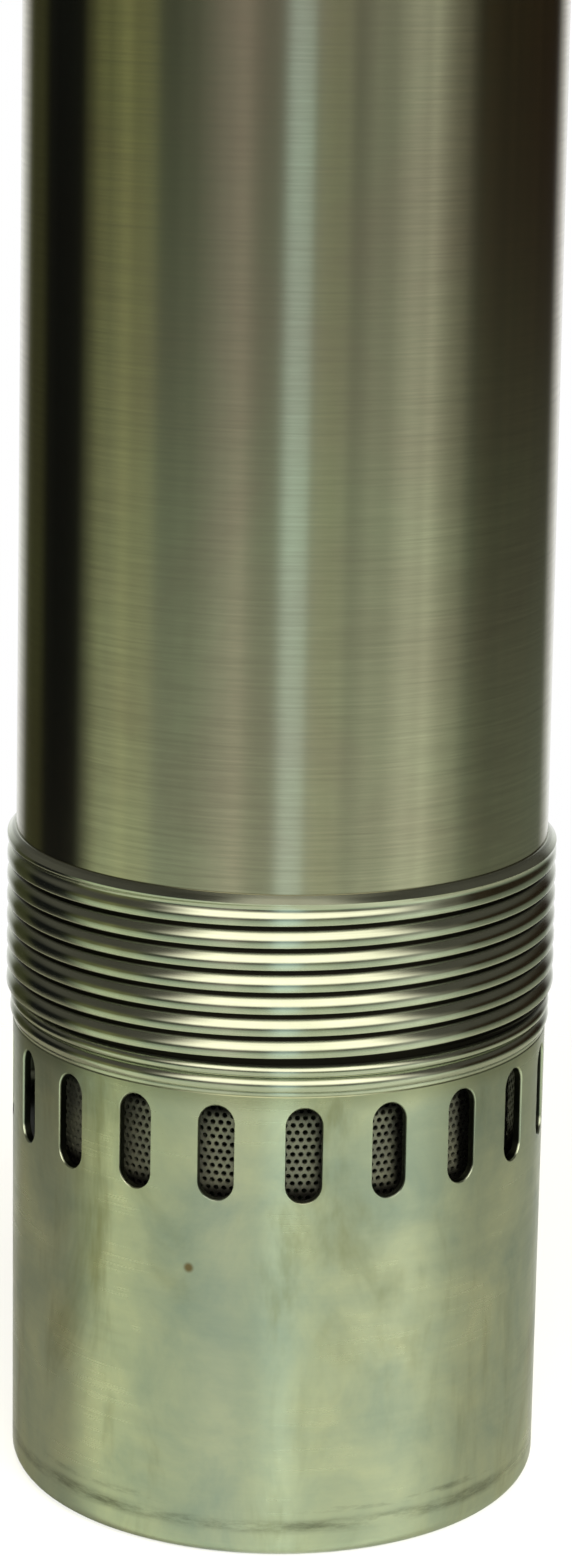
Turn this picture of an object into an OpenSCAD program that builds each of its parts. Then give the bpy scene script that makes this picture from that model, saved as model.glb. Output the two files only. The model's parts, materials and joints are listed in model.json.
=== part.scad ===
// Borehole submersible pump: slotted suction sleeve, threaded collar, pump stages and motor in one jacket.
// Millimetres, +Z up, origin at the centre of the base, front towards -Y.

/* [Jacket] */
// Outside diameter of the jacket tube
jacket_od = 127; // [122:0.5:136]
// Wall of the jacket tube
jacket_wall = 2; // [1.5:0.1:2.5]

/* [Suction sleeve] */
// Radius of the sleeve's top over the jacket
sleeve_step = 0.5; // [0.2:0.1:1]
// Radius that the sleeve loses towards its base
sleeve_draft = 0.6; // [0.2:0.1:1]
// Height of the sleeve from its base to the collar
sleeve_h = 110; // [90:1:130]
// Wall of the sleeve in the band of slots
sleeve_wall = 2; // [1.6:0.1:2.6]
// Wall of the cup below the slots
cup_wall = 3.4; // [2.4:0.1:4]
// Thickness of the closed base
base_t = 3; // [2:0.25:6]
// Rounding of the base's outer edge
base_fillet = 3.5; // [1:0.25:5]
// Number of inlet slots
slot_count = 20; // [12:1:24]
// Width of an inlet slot
slot_w = 8.2; // [5:0.1:10]
// Length of an inlet slot
slot_len = 22; // [14:0.5:30]
// From the slots' top to the sleeve's top
slot_below_top = 3; // [2.6:0.1:6]
// Turn of the first slot from the front, in degrees
slot_turn = 5.6; // [0:0.1:18]
// Height of the neck inside the collar
neck_h = 14; // [10:0.5:24]
// Wall of the neck
neck_wall = 2.5; // [2:0.1:4]

/* [Strainer screen] */
// Thickness of the perforated sheet
screen_t = 0.8; // [0.5:0.1:1.2]
// Holes across one slot
hole_cols = 3; // [2:1:4]
// Holes along one slot
hole_rows = 7; // [4:1:9]
// Diameter of a hole
hole_d = 1.7; // [1:0.1:1.9]

/* [Threaded collar] */
// Height of the collar
collar_h = 46.5; // [44:0.5:60]
// Radius of the thread's crests over the jacket
thread_step = 2.1; // [1.8:0.1:3]
// Distance between two ridges
thread_pitch = 5.08; // [4:0.02:5.3]
// Depth of the thread
thread_depth = 1.5; // [1:0.1:1.7]
// Width of a groove's root
thread_root = 0.9; // [0.5:0.1:1.2]
// Height of a groove's flank
thread_flank = 0.8; // [0.5:0.1:1]
// Number of grooves above the relief groove
thread_grooves = 6; // [3:1:6]
// From the collar's top to the first groove
first_groove = 7.5; // [6.5:0.1:9]
// Width of the chamfer on the collar's top
collar_chamfer = 1.7; // [1:0.1:1.7]
// Radius of the lower bead
bead_r = 2; // [1.5:0.1:2.2]
// Radius of the upper bead
small_bead_r = 1.5; // [1:0.1:1.6]
// How far the beads stand over the sleeve
bead_proud = 0.65; // [0.3:0.05:0.9]
// Depth of the jacket's seat in the collar
rebate_h = 6; // [4:0.25:6.5]
// Width of the ledge under the jacket's inside wall
collar_ledge = 1.5; // [1:0.1:2]

/* [Stages] */
// Height of one stage
stage_pitch = 32; // [30:0.5:40]
// Wall of a stage casing
stage_wall = 3; // [2:0.25:5]
// Floor of a stage casing
floor_t = 2.5; // [2:0.25:3.5]
// Thickness of the inlet plate
inlet_t = 8; // [7:0.5:14]
// Radius of the inlet plate's eye
inlet_eye_r = 26; // [24:0.5:30]
// From the impeller's rim to the casing wall
diffuser_w = 12.3; // [9:0.1:15]
// Outside radius of an impeller's eye ring
eye_r = 22; // [20:0.25:24]
// Outside radius of an impeller's hub
hub_r = 12.5; // [11.5:0.25:14]
// Thickness of an impeller's shrouds and of a diffuser's disc
shroud_t = 2; // [1.5:0.1:2.5]
// Clear height between an impeller's shrouds
passage_h = 9.5; // [7:0.25:10]
// Number of vanes in an impeller
impeller_vanes = 6; // [5:1:8]
// Number of vanes on each side of a diffuser
diffuser_vanes = 8; // [6:1:9]
// Thickness of a vane
vane_t = 2.2; // [1.6:0.1:3]
// Height of the discharge lantern
lantern_h = 24; // [22:0.5:40]
// Thickness of the lantern's floor
lantern_floor = 4; // [3:0.5:6]

/* [Shaft and bearings] */
// Radius of the shaft in the impellers
shaft_r = 8; // [7.5:0.1:8.5]
// Radius of the shaft's lower journal
journal_r = 6; // [5:0.1:6.5]
// Width of the impeller key
key_w = 3; // [2:0.25:4]
// Bore of a ball bearing
bearing_bore = 20; // [19:0.5:22]
// Outside diameter of a ball bearing
bearing_od = 47; // [46:0.5:50]
// Width of a ball bearing
bearing_w = 14; // [13:0.5:16]
// Diameter of a ball
ball_d = 7.94; // [7:0.02:8.4]
// Balls in a bearing
ball_count = 8; // [6:1:9]

/* [Motor] */
// Width of the water gap round the motor
water_gap = 7.5; // [5:0.25:9]
// Wall of the motor shell
shell_wall = 2; // [1.5:0.25:3]
// Length of the stator core
stator_len = 160; // [100:1:240]
// Radial width of the stator core
stator_w = 22.5; // [20:0.25:25]
// Gap between rotor and stator
air_gap = 0.5; // [0.3:0.05:0.8]
// Height of the end windings
winding_h = 30; // [24:1:40]
// Height of the lower bracket
bracket_h = 54; // [52:1:70]
// Height of the upper bracket
upper_h = 26; // [25:0.5:40]
// Radius of the run capacitor
capacitor_r = 20; // [16:0.5:21]
// Height of the run capacitor
capacitor_h = 62; // [40:1:90]

/* [Delivery head] */
// Height of the skirt inside the jacket
skirt_h = 28; // [26:0.5:40]
// Wall of the skirt
skirt_wall = 7.4; // [6:0.1:9]
// Height of the head above the jacket
head_h = 60; // [60:0.5:80]
// Wall round the outlet's thread bore
port_wall = 9.5; // [9:0.25:12]
// Depth of the outlet's thread bore
port_h = 24; // [18:0.5:24]
// Radius of a rope eye
eye_hole_r = 6; // [4:0.25:7]
// Thickness of a rope lug
lug_t = 8; // [6:0.5:12]
// Radius of the gland bush's cable hole
cable_r = 5.5; // [4:0.25:6.5]
// Number of head screws
screw_count = 6; // [4:1:8]

/* [Non-return valve] */
// From the poppet's rim to the chamber wall
poppet_gap = 4; // [3:0.25:5]
// Lift of the poppet up to its stop
poppet_lift = 10; // [6:0.5:10]
// Radius of the poppet's stem
stem_r = 3; // [2.5:0.1:3.5]

/* [Clearances] */
// Radial gap of a fixed fit
fit_gap = 0.05; // [0.02:0.01:0.08]
// Radial gap of a running fit
run_gap = 0.05; // [0.02:0.01:0.1]
// Gap between turning and standing pieces
free_gap = 0.3; // [0.25:0.05:0.5]
// Gap round the strainer screen and the stage casings
loose_gap = 0.2; // [0.1:0.05:0.4]

/* [Hidden] */
$fn = 96;
cut = 1;
stage_count = 5;

// Radii from the outside inwards
jacket_r = jacket_od / 2;
jacket_in = jacket_r - jacket_wall;
sleeve_r = jacket_r + sleeve_step;
base_r = sleeve_r - sleeve_draft;
thread_r = jacket_r + thread_step;
root_r = thread_r - thread_depth;
collar_in = jacket_in - collar_ledge;
band_r = sleeve_r - sleeve_wall;
cup_in = base_r - cup_wall;
neck_r = collar_in - fit_gap;
neck_in = neck_r - neck_wall;
shelf_lap = 0.25;
screen_in = neck_in + shelf_lap;
screen_r = screen_in + screen_t;
ledge_in = screen_in - loose_gap;
stage_r = collar_in - loose_gap;
stage_in = stage_r - stage_wall;
impeller_r = stage_in - diffuser_w;
shell_r = jacket_in - water_gap;
shell_in = shell_r - shell_wall;
spigot_r = shell_in - fit_gap;
rotor_r = spigot_r - stator_w - air_gap;

// Heights from the base upwards
slot_z1 = sleeve_h - slot_below_top;
slot_z0 = slot_z1 - slot_len;
shelf_gap = 0.6;
shelf_t = slot_below_top - shelf_gap;
ledge_drop = 5;
ledge_z = slot_z0 - ledge_drop;
ledge_t = 3;
ledge_rim = 3;
collar_z1 = sleeve_h + collar_h;
jacket_z0 = collar_z1 - rebate_h;
inlet_z = sleeve_h + neck_h;
stage_z = inlet_z + inlet_t;
lantern_z = stage_z + stage_count * stage_pitch;
bracket_z = lantern_z + lantern_h;
flange_t = 8;
shell_z0 = bracket_z + flange_t;
lower_space = 30;
stator_z = bracket_z + bracket_h + lower_space + winding_h;
upper_space = 16;
upper_z = stator_z + stator_len + winding_h + upper_space;
upper_z1 = upper_z + upper_h;
spigot_h = 8;
capacitor_space = 14;
shell_z1 = upper_z1 + capacitor_h + capacitor_space + spigot_h;
cover_z1 = shell_z1 + flange_t;
fin_h = 18;
head_z0 = cover_z1 + fin_h;
jacket_z1 = head_z0 + skirt_h;
head_z1 = jacket_z1 + head_h;

// Stage layout above the casing's floor
shroud_gap = 2;
eye_gap_r = eye_r + free_gap;
lower_shroud_z = floor_t + shroud_gap;
vane_z = lower_shroud_z + shroud_t;
upper_shroud_z = vane_z + passage_h;
disc_z = upper_shroud_z + shroud_t + shroud_gap / 2;
disc_top = disc_z + shroud_t;
disc_lap = 5.5;
disc_r = impeller_r + disc_lap;
diffuser_r = stage_in - loose_gap;
rim_setback = 0.5;
vane_start = 3;
diffuser_start = 1.5;
impeller_sweep = 70;
diffuser_sweep = 24;
return_sweep = -40;

// Shaft steps
bush_r = 10;
bush_h = 14;
bush_wall = 4;
bush_drop = 19;
bush_z = inlet_z - bush_drop;
shaft_tip = 3;
shaft_z0 = bush_z - shaft_tip;
arm_w = 5;
arm_drop = 4;
arm_root = 2;
arm_foot = 10;
arm_lap = 1;
nut_h = 9;
nut_step = 1;
nut_thread_r = shaft_r - nut_step;
spacer_h = 9;
spacer_z1 = lantern_z + spacer_h;
seal_r = 15;
seal_step = 1;
seal_shaft_r = shaft_r + seal_step;
bearing_r = bearing_bore / 2;
lower_bearing_z = bracket_z + bracket_h - bearing_w;
lower_seat_lead = 10;
upper_seat = 4;
upper_bearing_z = upper_z + upper_seat;
core_step = 3;
core_bore_r = bearing_r + core_step;
end_ring_h = 6;
end_ring_in = 4;
end_ring_out = 1;
coil_inset = 5;
capacitor_inset = 5;
capacitor_cap = 3;
seal_seat_r = 17;
seal_seat_h = 6;
seal_hole_r = 12;
housing_r = bearing_od / 2 + fit_gap;
housing_wall = 5;
housing_lip = 3.5;
shoulder_r = bearing_od / 2 - housing_lip;
ball_path_r = (bearing_bore + bearing_od) / 4;
race_depth = 0.4;
cage_share = 0.15;
bracket_spigot = 12;
bracket_floor = 6;
upper_floor = 4;
post_count = 6;
post_w = 10;
post_lap = 8;
fin_w = 8;
fin_lap = 6;
fin_clear = 0.4;

// O-ring sections
oring_r = 1.5;
oring_side = 0.4;
oring_under = 0.1;
oring_w = 2 * oring_r + oring_side;
oring_depth = 2 * oring_r + oring_under;

// Delivery head
skirt_gap = 0.1;
skirt_r = jacket_in - skirt_gap;
skirt_in = skirt_r - skirt_wall;
head_oring_up = 6;
head_oring_z = head_z0 + head_oring_up;
screw_r = 3;
screw_head_r = 5;
screw_head_h = 1.6;
screw_turn = 30;
screw_drop = 10;
screw_z = jacket_z1 - screw_drop;
rim_proud = 0.5;
rim_r = jacket_r + rim_proud;
rim_h = 6;
crown_in = 3;
crown_h = 11;
shoulder_h = 24;
neck_fillet = 6;
edge_break = 1.5;

// Cable gland, just inside the cover's O-ring
conduit_r = 10.5;
conduit_in = 7;
conduit_land = 0.85;
conduit_seat = 5;
conduit_lap = 4;
gland_y = spigot_r - oring_depth - conduit_land - conduit_in;
gland_r = 14.5;
gland_rise = 42;
gland_z1 = jacket_z1 + gland_rise;
gland_flats = 21.5;
gland_hex_r = gland_flats / 2 / cos(30);
gland_hex_h = 10;
gland_thread_h = 6;
gland_floor = 16;
gland_mouth = 1.5;
bush_seat_r = 9.5;
bush_seat_h = 16;
bush_seat_z = gland_z1 - bush_seat_h;

// Outlet beside the gland's nut, rope lugs and valve
gland_clear = 1.25;
port_boss_r = gland_y - gland_flats / 2 - gland_clear;
port_r = port_boss_r - port_wall;
port_mouth = 1;
chamber_wall = 5;
chamber_r = port_boss_r - chamber_wall;
chamber_cone = 4;
ceiling_in = 7;
ceiling_step = 2;
ceiling_h = 13;
lug_inset = 17.5;
lug_x = jacket_r - lug_inset;
lug_rise = 34;
lug_z = jacket_z1 + lug_rise;
lug_r = 12;
lug_foot = 8;
lug_lap = 2;
seat_rise = 12;
valve_z = jacket_z1 + seat_rise;
seat_ledge = 2.5;
seat_r = chamber_r + seat_ledge;
seat_h = 8;
seat_lap = 3;
seat_arm_w = 3;
poppet_r = chamber_r - poppet_gap;
poppet_rim = 2.5;
gasket_t = 2;
gasket_w = 6;
stem_hub_r = 6;
stem_hub_drop = 6;
stem_hub_z = valve_z - seat_h - stem_hub_drop;
stem_tip = 1;
stop_h = 4;
stop_z = stem_hub_z - poppet_lift - stop_h;

// Ring between two radii and two heights
module ring(r_in, r_out, z0, z1) {
    rotate_extrude()
        translate([r_in, z0])
            square([r_out - r_in, z1 - z0]);
}

// Round ring of the O-ring section that just fits inside a bore
module oring(bore_r, z) {
    rotate_extrude()
        translate([bore_r - fit_gap - oring_r, z])
            circle(r = oring_r);
}

// Groove for an O-ring, cut into a spigot
module oring_groove(spigot, z) {
    ring(spigot - oring_depth, spigot + cut, z - oring_w / 2, z + oring_w / 2);
}

// Plan of a curved vane from one radius to another
function vane_side(r0, r1, sweep, lead) = [
    for (i = [0:6])
        let (r = r0 + (r1 - r0) * i / 6, a = sweep * i / 6 + lead / r * 180 / PI)
        [r * cos(a), r * sin(a)]
];
function reversed(list) = [for (i = [len(list) - 1:-1:0]) list[i]];

module vanes(count, r0, r1, sweep, z0, z1) {
    for (i = [0:count - 1])
        rotate([0, 0, i * 360 / count])
            translate([0, 0, z0])
                linear_extrude(height = z1 - z0)
                    polygon(concat(
                        vane_side(r0, r1, sweep, -vane_t / 2),
                        reversed(vane_side(r0, r1, sweep, vane_t / 2))
                    ));
}

// Inlet slot with round ends, cut outwards from the axis at the front
module slot_cutter() {
    translate([-slot_w / 2, -sleeve_r - cut, slot_z0 + slot_w / 2])
        cube([slot_w, sleeve_wall + 2 * cut + sleeve_step, slot_len - slot_w]);
    for (z = [slot_z0 + slot_w / 2, slot_z1 - slot_w / 2])
        translate([0, -sleeve_r - cut, z])
            rotate([-90, 0, 0])
                cylinder(d = slot_w, h = sleeve_wall + 2 * cut + sleeve_step);
}

module suction_sleeve() {
    color("#9ea28a")
    difference() {
        rotate_extrude()
            union() {
                polygon([
                    [0, 0], [base_r - base_fillet, 0], [base_r, base_fillet], [sleeve_r, sleeve_h],
                    [neck_r, sleeve_h], [neck_r, inlet_z], [neck_in, inlet_z],
                    [neck_in, sleeve_h - shelf_t], [band_r, sleeve_h - shelf_t],
                    [band_r, ledge_z + ledge_rim], [screen_r + loose_gap, ledge_z + ledge_rim],
                    [screen_r + loose_gap, ledge_z], [ledge_in, ledge_z], [ledge_in, ledge_z - ledge_t],
                    [cup_in, ledge_z - ledge_t - cup_in + ledge_in], [cup_in, base_t], [0, base_t]
                ]);
                intersection() {
                    translate([base_r - base_fillet, base_fillet])
                        circle(r = base_fillet);
                    translate([base_r - base_fillet, 0])
                        square(base_fillet);
                }
            }
        for (i = [0:slot_count - 1])
            rotate([0, 0, slot_turn + i * 360 / slot_count])
                slot_cutter();
    }
}

module strainer_screen() {
    hole_turn = slot_w / hole_cols / screen_r * 180 / PI;
    hole_step = slot_len / hole_rows;
    color("#8b8f7c")
    difference() {
        ring(screen_in, screen_r, ledge_z, sleeve_h - shelf_t - loose_gap);
        for (i = [0:slot_count - 1])
            for (c = [0:hole_cols - 1])
                for (k = [0:hole_rows - 1])
                    rotate([0, 0, slot_turn + i * 360 / slot_count + (c - (hole_cols - 1) / 2) * hole_turn])
                        translate([0, -screen_r - cut, slot_z0 + (k + 0.25 + c % 2 / 2) * hole_step])
                            rotate([-90, 0, 0])
                                cylinder(d = hole_d, h = screen_t + 2 * cut);
    }
}

module threaded_collar() {
    bead_lead = 0.3;
    bead_lap = 0.2;
    relief_lead = 0.4;
    relief_depth = 0.6;
    bead_z = sleeve_h + bead_r + bead_lead;
    small_bead_z = bead_z + bead_r + small_bead_r - bead_lap;
    groove_z = collar_z1 - first_groove;
    relief_z1 = groove_z - thread_grooves * thread_pitch + thread_root / 2 + relief_lead;
    neck = sleeve_r - relief_depth;
    color("#a5a894")
    rotate_extrude()
        union() {
            polygon(concat(
                [
                    [collar_in, sleeve_h], [sleeve_r, sleeve_h], [sleeve_r, bead_z], [neck, bead_z],
                    [neck, relief_z1], [thread_r, relief_z1 + thread_flank]
                ],
                [
                    for (i = [thread_grooves - 1:-1:0])
                        for (p = [
                            [thread_r, -thread_root / 2 - thread_flank], [root_r, -thread_root / 2],
                            [root_r, thread_root / 2], [thread_r, thread_root / 2 + thread_flank]
                        ])
                            [p[0], groove_z - i * thread_pitch + p[1]]
                ],
                [
                    [thread_r, collar_z1 - collar_chamfer], [thread_r - collar_chamfer, collar_z1],
                    [jacket_r, collar_z1], [jacket_r, jacket_z0], [collar_in, jacket_z0]
                ]
            ));
            translate([sleeve_r + bead_proud - bead_r, bead_z])
                circle(r = bead_r);
            translate([sleeve_r + bead_proud - small_bead_r, small_bead_z])
                circle(r = small_bead_r);
        }
}

// Places its children at every head screw, with +X pointing outwards
module at_screws() {
    for (i = [0:screw_count - 1])
        rotate([0, 0, screw_turn + i * 360 / screw_count])
            translate([0, 0, screw_z])
                rotate([0, 90, 0])
                    children();
}

module outer_jacket() {
    color("#8f937c")
    difference() {
        ring(jacket_in, jacket_r, jacket_z0, jacket_z1);
        at_screws()
            translate([0, 0, skirt_r - cut])
                cylinder(r = screw_r + free_gap, h = jacket_wall + 3 * cut);
    }
}

module inlet_plate() {
    color("#7f8378")
    difference() {
        union() {
            ring(inlet_eye_r, neck_r, inlet_z, stage_z);
            ring(bush_r, bush_r + bush_wall, bush_z, bush_z + bush_h);
            for (a = [90, 210, 330])
                rotate([0, 0, a])
                    translate([0, -arm_w / 2, bush_z + arm_drop]) {
                        translate([bush_r + arm_root, 0, 0])
                            cube([inlet_eye_r + arm_foot - bush_r, arm_w, bush_h - arm_drop]);
                        translate([inlet_eye_r + arm_lap, 0, 0])
                            cube([arm_foot, arm_w, inlet_z + 2 * arm_lap - bush_z - arm_drop]);
                    }
        }
        oring_groove(neck_r, inlet_z + inlet_t / 2);
    }
}

module inlet_oring() {
    color("#202020")
    oring(collar_in, inlet_z + inlet_t / 2);
}

module lower_bush() {
    color("#b08d4a")
    ring(journal_r + run_gap, bush_r - fit_gap, bush_z, bush_z + bush_h);
}

module stage_casing(i) {
    color("#b9bcae")
    translate([0, 0, stage_z + i * stage_pitch])
        rotate_extrude()
            polygon([
                [eye_gap_r, 0], [stage_r, 0], [stage_r, stage_pitch], [stage_in, stage_pitch],
                [stage_in, floor_t], [eye_gap_r, floor_t]
            ]);
}

module diffuser(i) {
    color("#d8d4c4")
    translate([0, 0, stage_z + i * stage_pitch])
        union() {
            ring(hub_r + free_gap, disc_r, disc_z, disc_top);
            vanes(diffuser_vanes, impeller_r + diffuser_start, diffuser_r, diffuser_sweep, floor_t, disc_top);
            vanes(
                diffuser_vanes, inlet_eye_r, diffuser_r, return_sweep,
                disc_top - shroud_t / 2, stage_pitch
            );
        }
}

module impeller(i) {
    color("#c9b98a")
    translate([0, 0, stage_z + i * stage_pitch])
        difference() {
            union() {
                ring(shaft_r + fit_gap, hub_r, 0, stage_pitch);
                ring(hub_r - shroud_t / 2, impeller_r, upper_shroud_z, upper_shroud_z + shroud_t);
                rotate_extrude()
                    polygon([
                        [eye_r - shroud_t, free_gap], [eye_r, free_gap], [eye_r, lower_shroud_z],
                        [impeller_r, lower_shroud_z], [impeller_r, vane_z], [eye_r - shroud_t, vane_z]
                    ]);
                vanes(
                    impeller_vanes, hub_r + vane_start, impeller_r - rim_setback, impeller_sweep,
                    vane_z - shroud_t / 2, upper_shroud_z + shroud_t / 2
                );
            }
            translate([-key_w / 2 - fit_gap, 0, -cut])
                cube([key_w + 2 * fit_gap, shaft_r + key_w / 2 + fit_gap, stage_pitch + 2 * cut]);
        }
}

module shaft() {
    color("#b8bab5")
    difference() {
        rotate_extrude()
            polygon([
                [0, shaft_z0], [journal_r, shaft_z0],
                [journal_r, stage_z - nut_h], [nut_thread_r, stage_z - nut_h],
                [nut_thread_r, stage_z], [shaft_r, stage_z], [shaft_r, spacer_z1], [seal_shaft_r, spacer_z1],
                [seal_shaft_r, lower_bearing_z - lower_seat_lead],
                [bearing_r, lower_bearing_z - lower_seat_lead],
                [bearing_r, lower_bearing_z + bearing_w], [core_bore_r, lower_bearing_z + bearing_w],
                [core_bore_r, upper_bearing_z], [bearing_r, upper_bearing_z],
                [bearing_r, upper_bearing_z + bearing_w], [0, upper_bearing_z + bearing_w]
            ]);
        translate([-key_w / 2, shaft_r - key_w / 2, stage_z])
            cube([key_w, key_w, lantern_z - stage_z]);
    }
}

module impeller_key() {
    color("#8a8c88")
    translate([-key_w / 2, shaft_r - key_w / 2, stage_z])
        cube([key_w, key_w, lantern_z - stage_z]);
}

module impeller_nut() {
    color("#9a9c98")
    difference() {
        translate([0, 0, stage_z - nut_h])
            linear_extrude(height = nut_h)
                circle(r = hub_r, $fn = 6);
        translate([0, 0, stage_z - nut_h - cut])
            cylinder(r = nut_thread_r + fit_gap, h = nut_h + 2 * cut);
    }
}

module shaft_spacer() {
    color("#9a9c98")
    ring(shaft_r + fit_gap, hub_r, lantern_z, spacer_z1);
}

module seal_ring() {
    color("#3a3a3c")
    ring(seal_shaft_r + fit_gap, seal_r, spacer_z1, bracket_z - free_gap);
}

module rotor_core() {
    color("#6d6f70")
    union() {
        ring(core_bore_r + fit_gap, rotor_r, stator_z, stator_z + stator_len);
        ring(
            core_bore_r + end_ring_in, rotor_r - end_ring_out,
            stator_z - end_ring_h, stator_z + stator_len + end_ring_h
        );
    }
}

module discharge_lantern() {
    color("#7f8378")
    union() {
        ring(inlet_eye_r, stage_r, lantern_z, lantern_z + lantern_floor);
        for (i = [0:post_count - 1])
            rotate([0, 0, i * 360 / post_count])
                translate([shell_r - post_lap, -post_w / 2, lantern_z + lantern_floor / 2])
                    cube([stage_r - shell_r + post_lap - cut, post_w, lantern_h - lantern_floor / 2]);
    }
}

module seal_seat() {
    color("#e6e2d6")
    ring(seal_hole_r, seal_seat_r - fit_gap, bracket_z, bracket_z + seal_seat_h);
}

module lower_bracket() {
    hub = housing_r + housing_wall;
    color("#6f7474")
    difference() {
        rotate_extrude()
            polygon([
                [seal_seat_r, bracket_z], [shell_r, bracket_z], [shell_r, shell_z0], [spigot_r, shell_z0],
                [spigot_r, shell_z0 + bracket_spigot], [hub, shell_z0 + bracket_spigot],
                [hub, bracket_z + bracket_h], [housing_r, bracket_z + bracket_h],
                [housing_r, lower_bearing_z], [shoulder_r, lower_bearing_z],
                [shoulder_r, shell_z0 + bracket_floor], [seal_hole_r, shell_z0 + bracket_floor],
                [seal_hole_r, bracket_z + seal_seat_h], [seal_seat_r, bracket_z + seal_seat_h]
            ]);
        oring_groove(spigot_r, shell_z0 + bracket_spigot / 2);
    }
}

module bracket_oring() {
    color("#202020")
    oring(shell_in, shell_z0 + bracket_spigot / 2);
}

// Groove of the balls, in section
module ball_groove() {
    translate([ball_path_r, bearing_w / 2])
        circle(r = ball_d / 2 + run_gap);
}

module outer_ring(z) {
    color("#c4c6c2")
    translate([0, 0, z])
        rotate_extrude()
            difference() {
                translate([ball_path_r + ball_d * race_depth, 0])
                    square([bearing_od / 2 - ball_path_r - ball_d * race_depth, bearing_w]);
                ball_groove();
            }
}

module inner_ring(z) {
    color("#c4c6c2")
    translate([0, 0, z])
        rotate_extrude()
            difference() {
                translate([bearing_r + fit_gap / 2, 0])
                    square([ball_path_r - ball_d * race_depth - bearing_r - fit_gap / 2, bearing_w]);
                ball_groove();
            }
}

module ball_set(z) {
    color("#d9dad6")
    translate([0, 0, z + bearing_w / 2])
        union() {
            ring(
                ball_path_r - ball_d * cage_share, ball_path_r + ball_d * cage_share,
                -2 * ball_d * cage_share, 2 * ball_d * cage_share
            );
            for (i = [0:ball_count - 1])
                rotate([0, 0, i * 360 / ball_count])
                    translate([ball_path_r, 0, 0])
                        sphere(d = ball_d);
        }
}

module motor_shell() {
    color("#a3a69a")
    ring(shell_in, shell_r, shell_z0, shell_z1);
}

module stator_core() {
    color("#5d6061")
    ring(rotor_r + air_gap, spigot_r, stator_z, stator_z + stator_len);
}

module stator_windings() {
    coil_w = spigot_r - rotor_r - 2 * coil_inset;
    color("#b06a35")
    union() {
        for (side = [0, 1])
            translate([0, 0, stator_z + side * stator_len])
                mirror([0, 0, 1 - side])
                    rotate_extrude()
                        translate([rotor_r + coil_inset, 0])
                            union() {
                                square([coil_w, winding_h - coil_w / 2]);
                                translate([coil_w / 2, winding_h - coil_w / 2])
                                    circle(d = coil_w);
                            }
    }
}

module upper_bracket() {
    hub = housing_r + housing_wall;
    color("#6f7474")
    rotate_extrude()
        polygon([
            [housing_r, upper_z], [hub, upper_z],
            [hub, upper_z1 - bracket_spigot], [spigot_r, upper_z1 - bracket_spigot],
            [spigot_r, upper_z1], [0, upper_z1],
            [0, upper_z1 - upper_floor], [shoulder_r, upper_z1 - upper_floor],
            [shoulder_r, upper_bearing_z + bearing_w], [housing_r, upper_bearing_z + bearing_w]
        ]);
}

module run_capacitor() {
    color("#d9d9d4")
    translate([capacitor_r - spigot_r + capacitor_inset, 0, upper_z1])
        union() {
            cylinder(r = capacitor_r, h = capacitor_h - capacitor_cap);
            cylinder(r = capacitor_r - capacitor_cap, h = capacitor_h);
        }
}

module motor_cover() {
    color("#6f7474")
    difference() {
        union() {
            translate([0, 0, shell_z1 - spigot_h])
                cylinder(r = spigot_r, h = spigot_h + cut);
            translate([0, 0, shell_z1])
                cylinder(r = shell_r, h = flange_t);
            for (a = [30, 150, 270])
                rotate([0, 0, a])
                    translate([shell_r - fin_lap, -fin_w / 2, shell_z1])
                        cube([skirt_r - shell_r + fin_lap - fin_clear, fin_w, flange_t + fin_h]);
        }
        oring_groove(spigot_r, shell_z1 - spigot_h / 2);
        translate([0, gland_y, shell_z1 - spigot_h - cut])
            cylinder(r = conduit_in, h = spigot_h + flange_t + 2 * cut);
        translate([0, gland_y, cover_z1 - conduit_seat])
            cylinder(r = conduit_r + fit_gap, h = conduit_seat + cut);
    }
}

module cover_oring() {
    color("#202020")
    oring(shell_in, shell_z1 - spigot_h / 2);
}

module cable_conduit() {
    color("#a3a69a")
    translate([0, gland_y, 0])
        ring(conduit_in, conduit_r, cover_z1 - conduit_seat, jacket_z1 + conduit_lap - loose_gap);
}

// Rope lug beside the outlet, towards +X
module rope_lug() {
    translate([port_boss_r - lug_lap, -lug_t / 2, jacket_z1 + lug_foot])
        cube([lug_x - port_boss_r + lug_lap, lug_t, lug_rise + lug_r - lug_foot]);
    translate([port_boss_r - lug_lap, -lug_t / 2, jacket_z1 + lug_foot])
        cube([lug_x + lug_r - port_boss_r + lug_lap, lug_t, lug_rise - lug_foot]);
    translate([lug_x, lug_t / 2, lug_z])
        rotate([90, 0, 0])
            cylinder(r = lug_r, h = lug_t);
}

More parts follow.
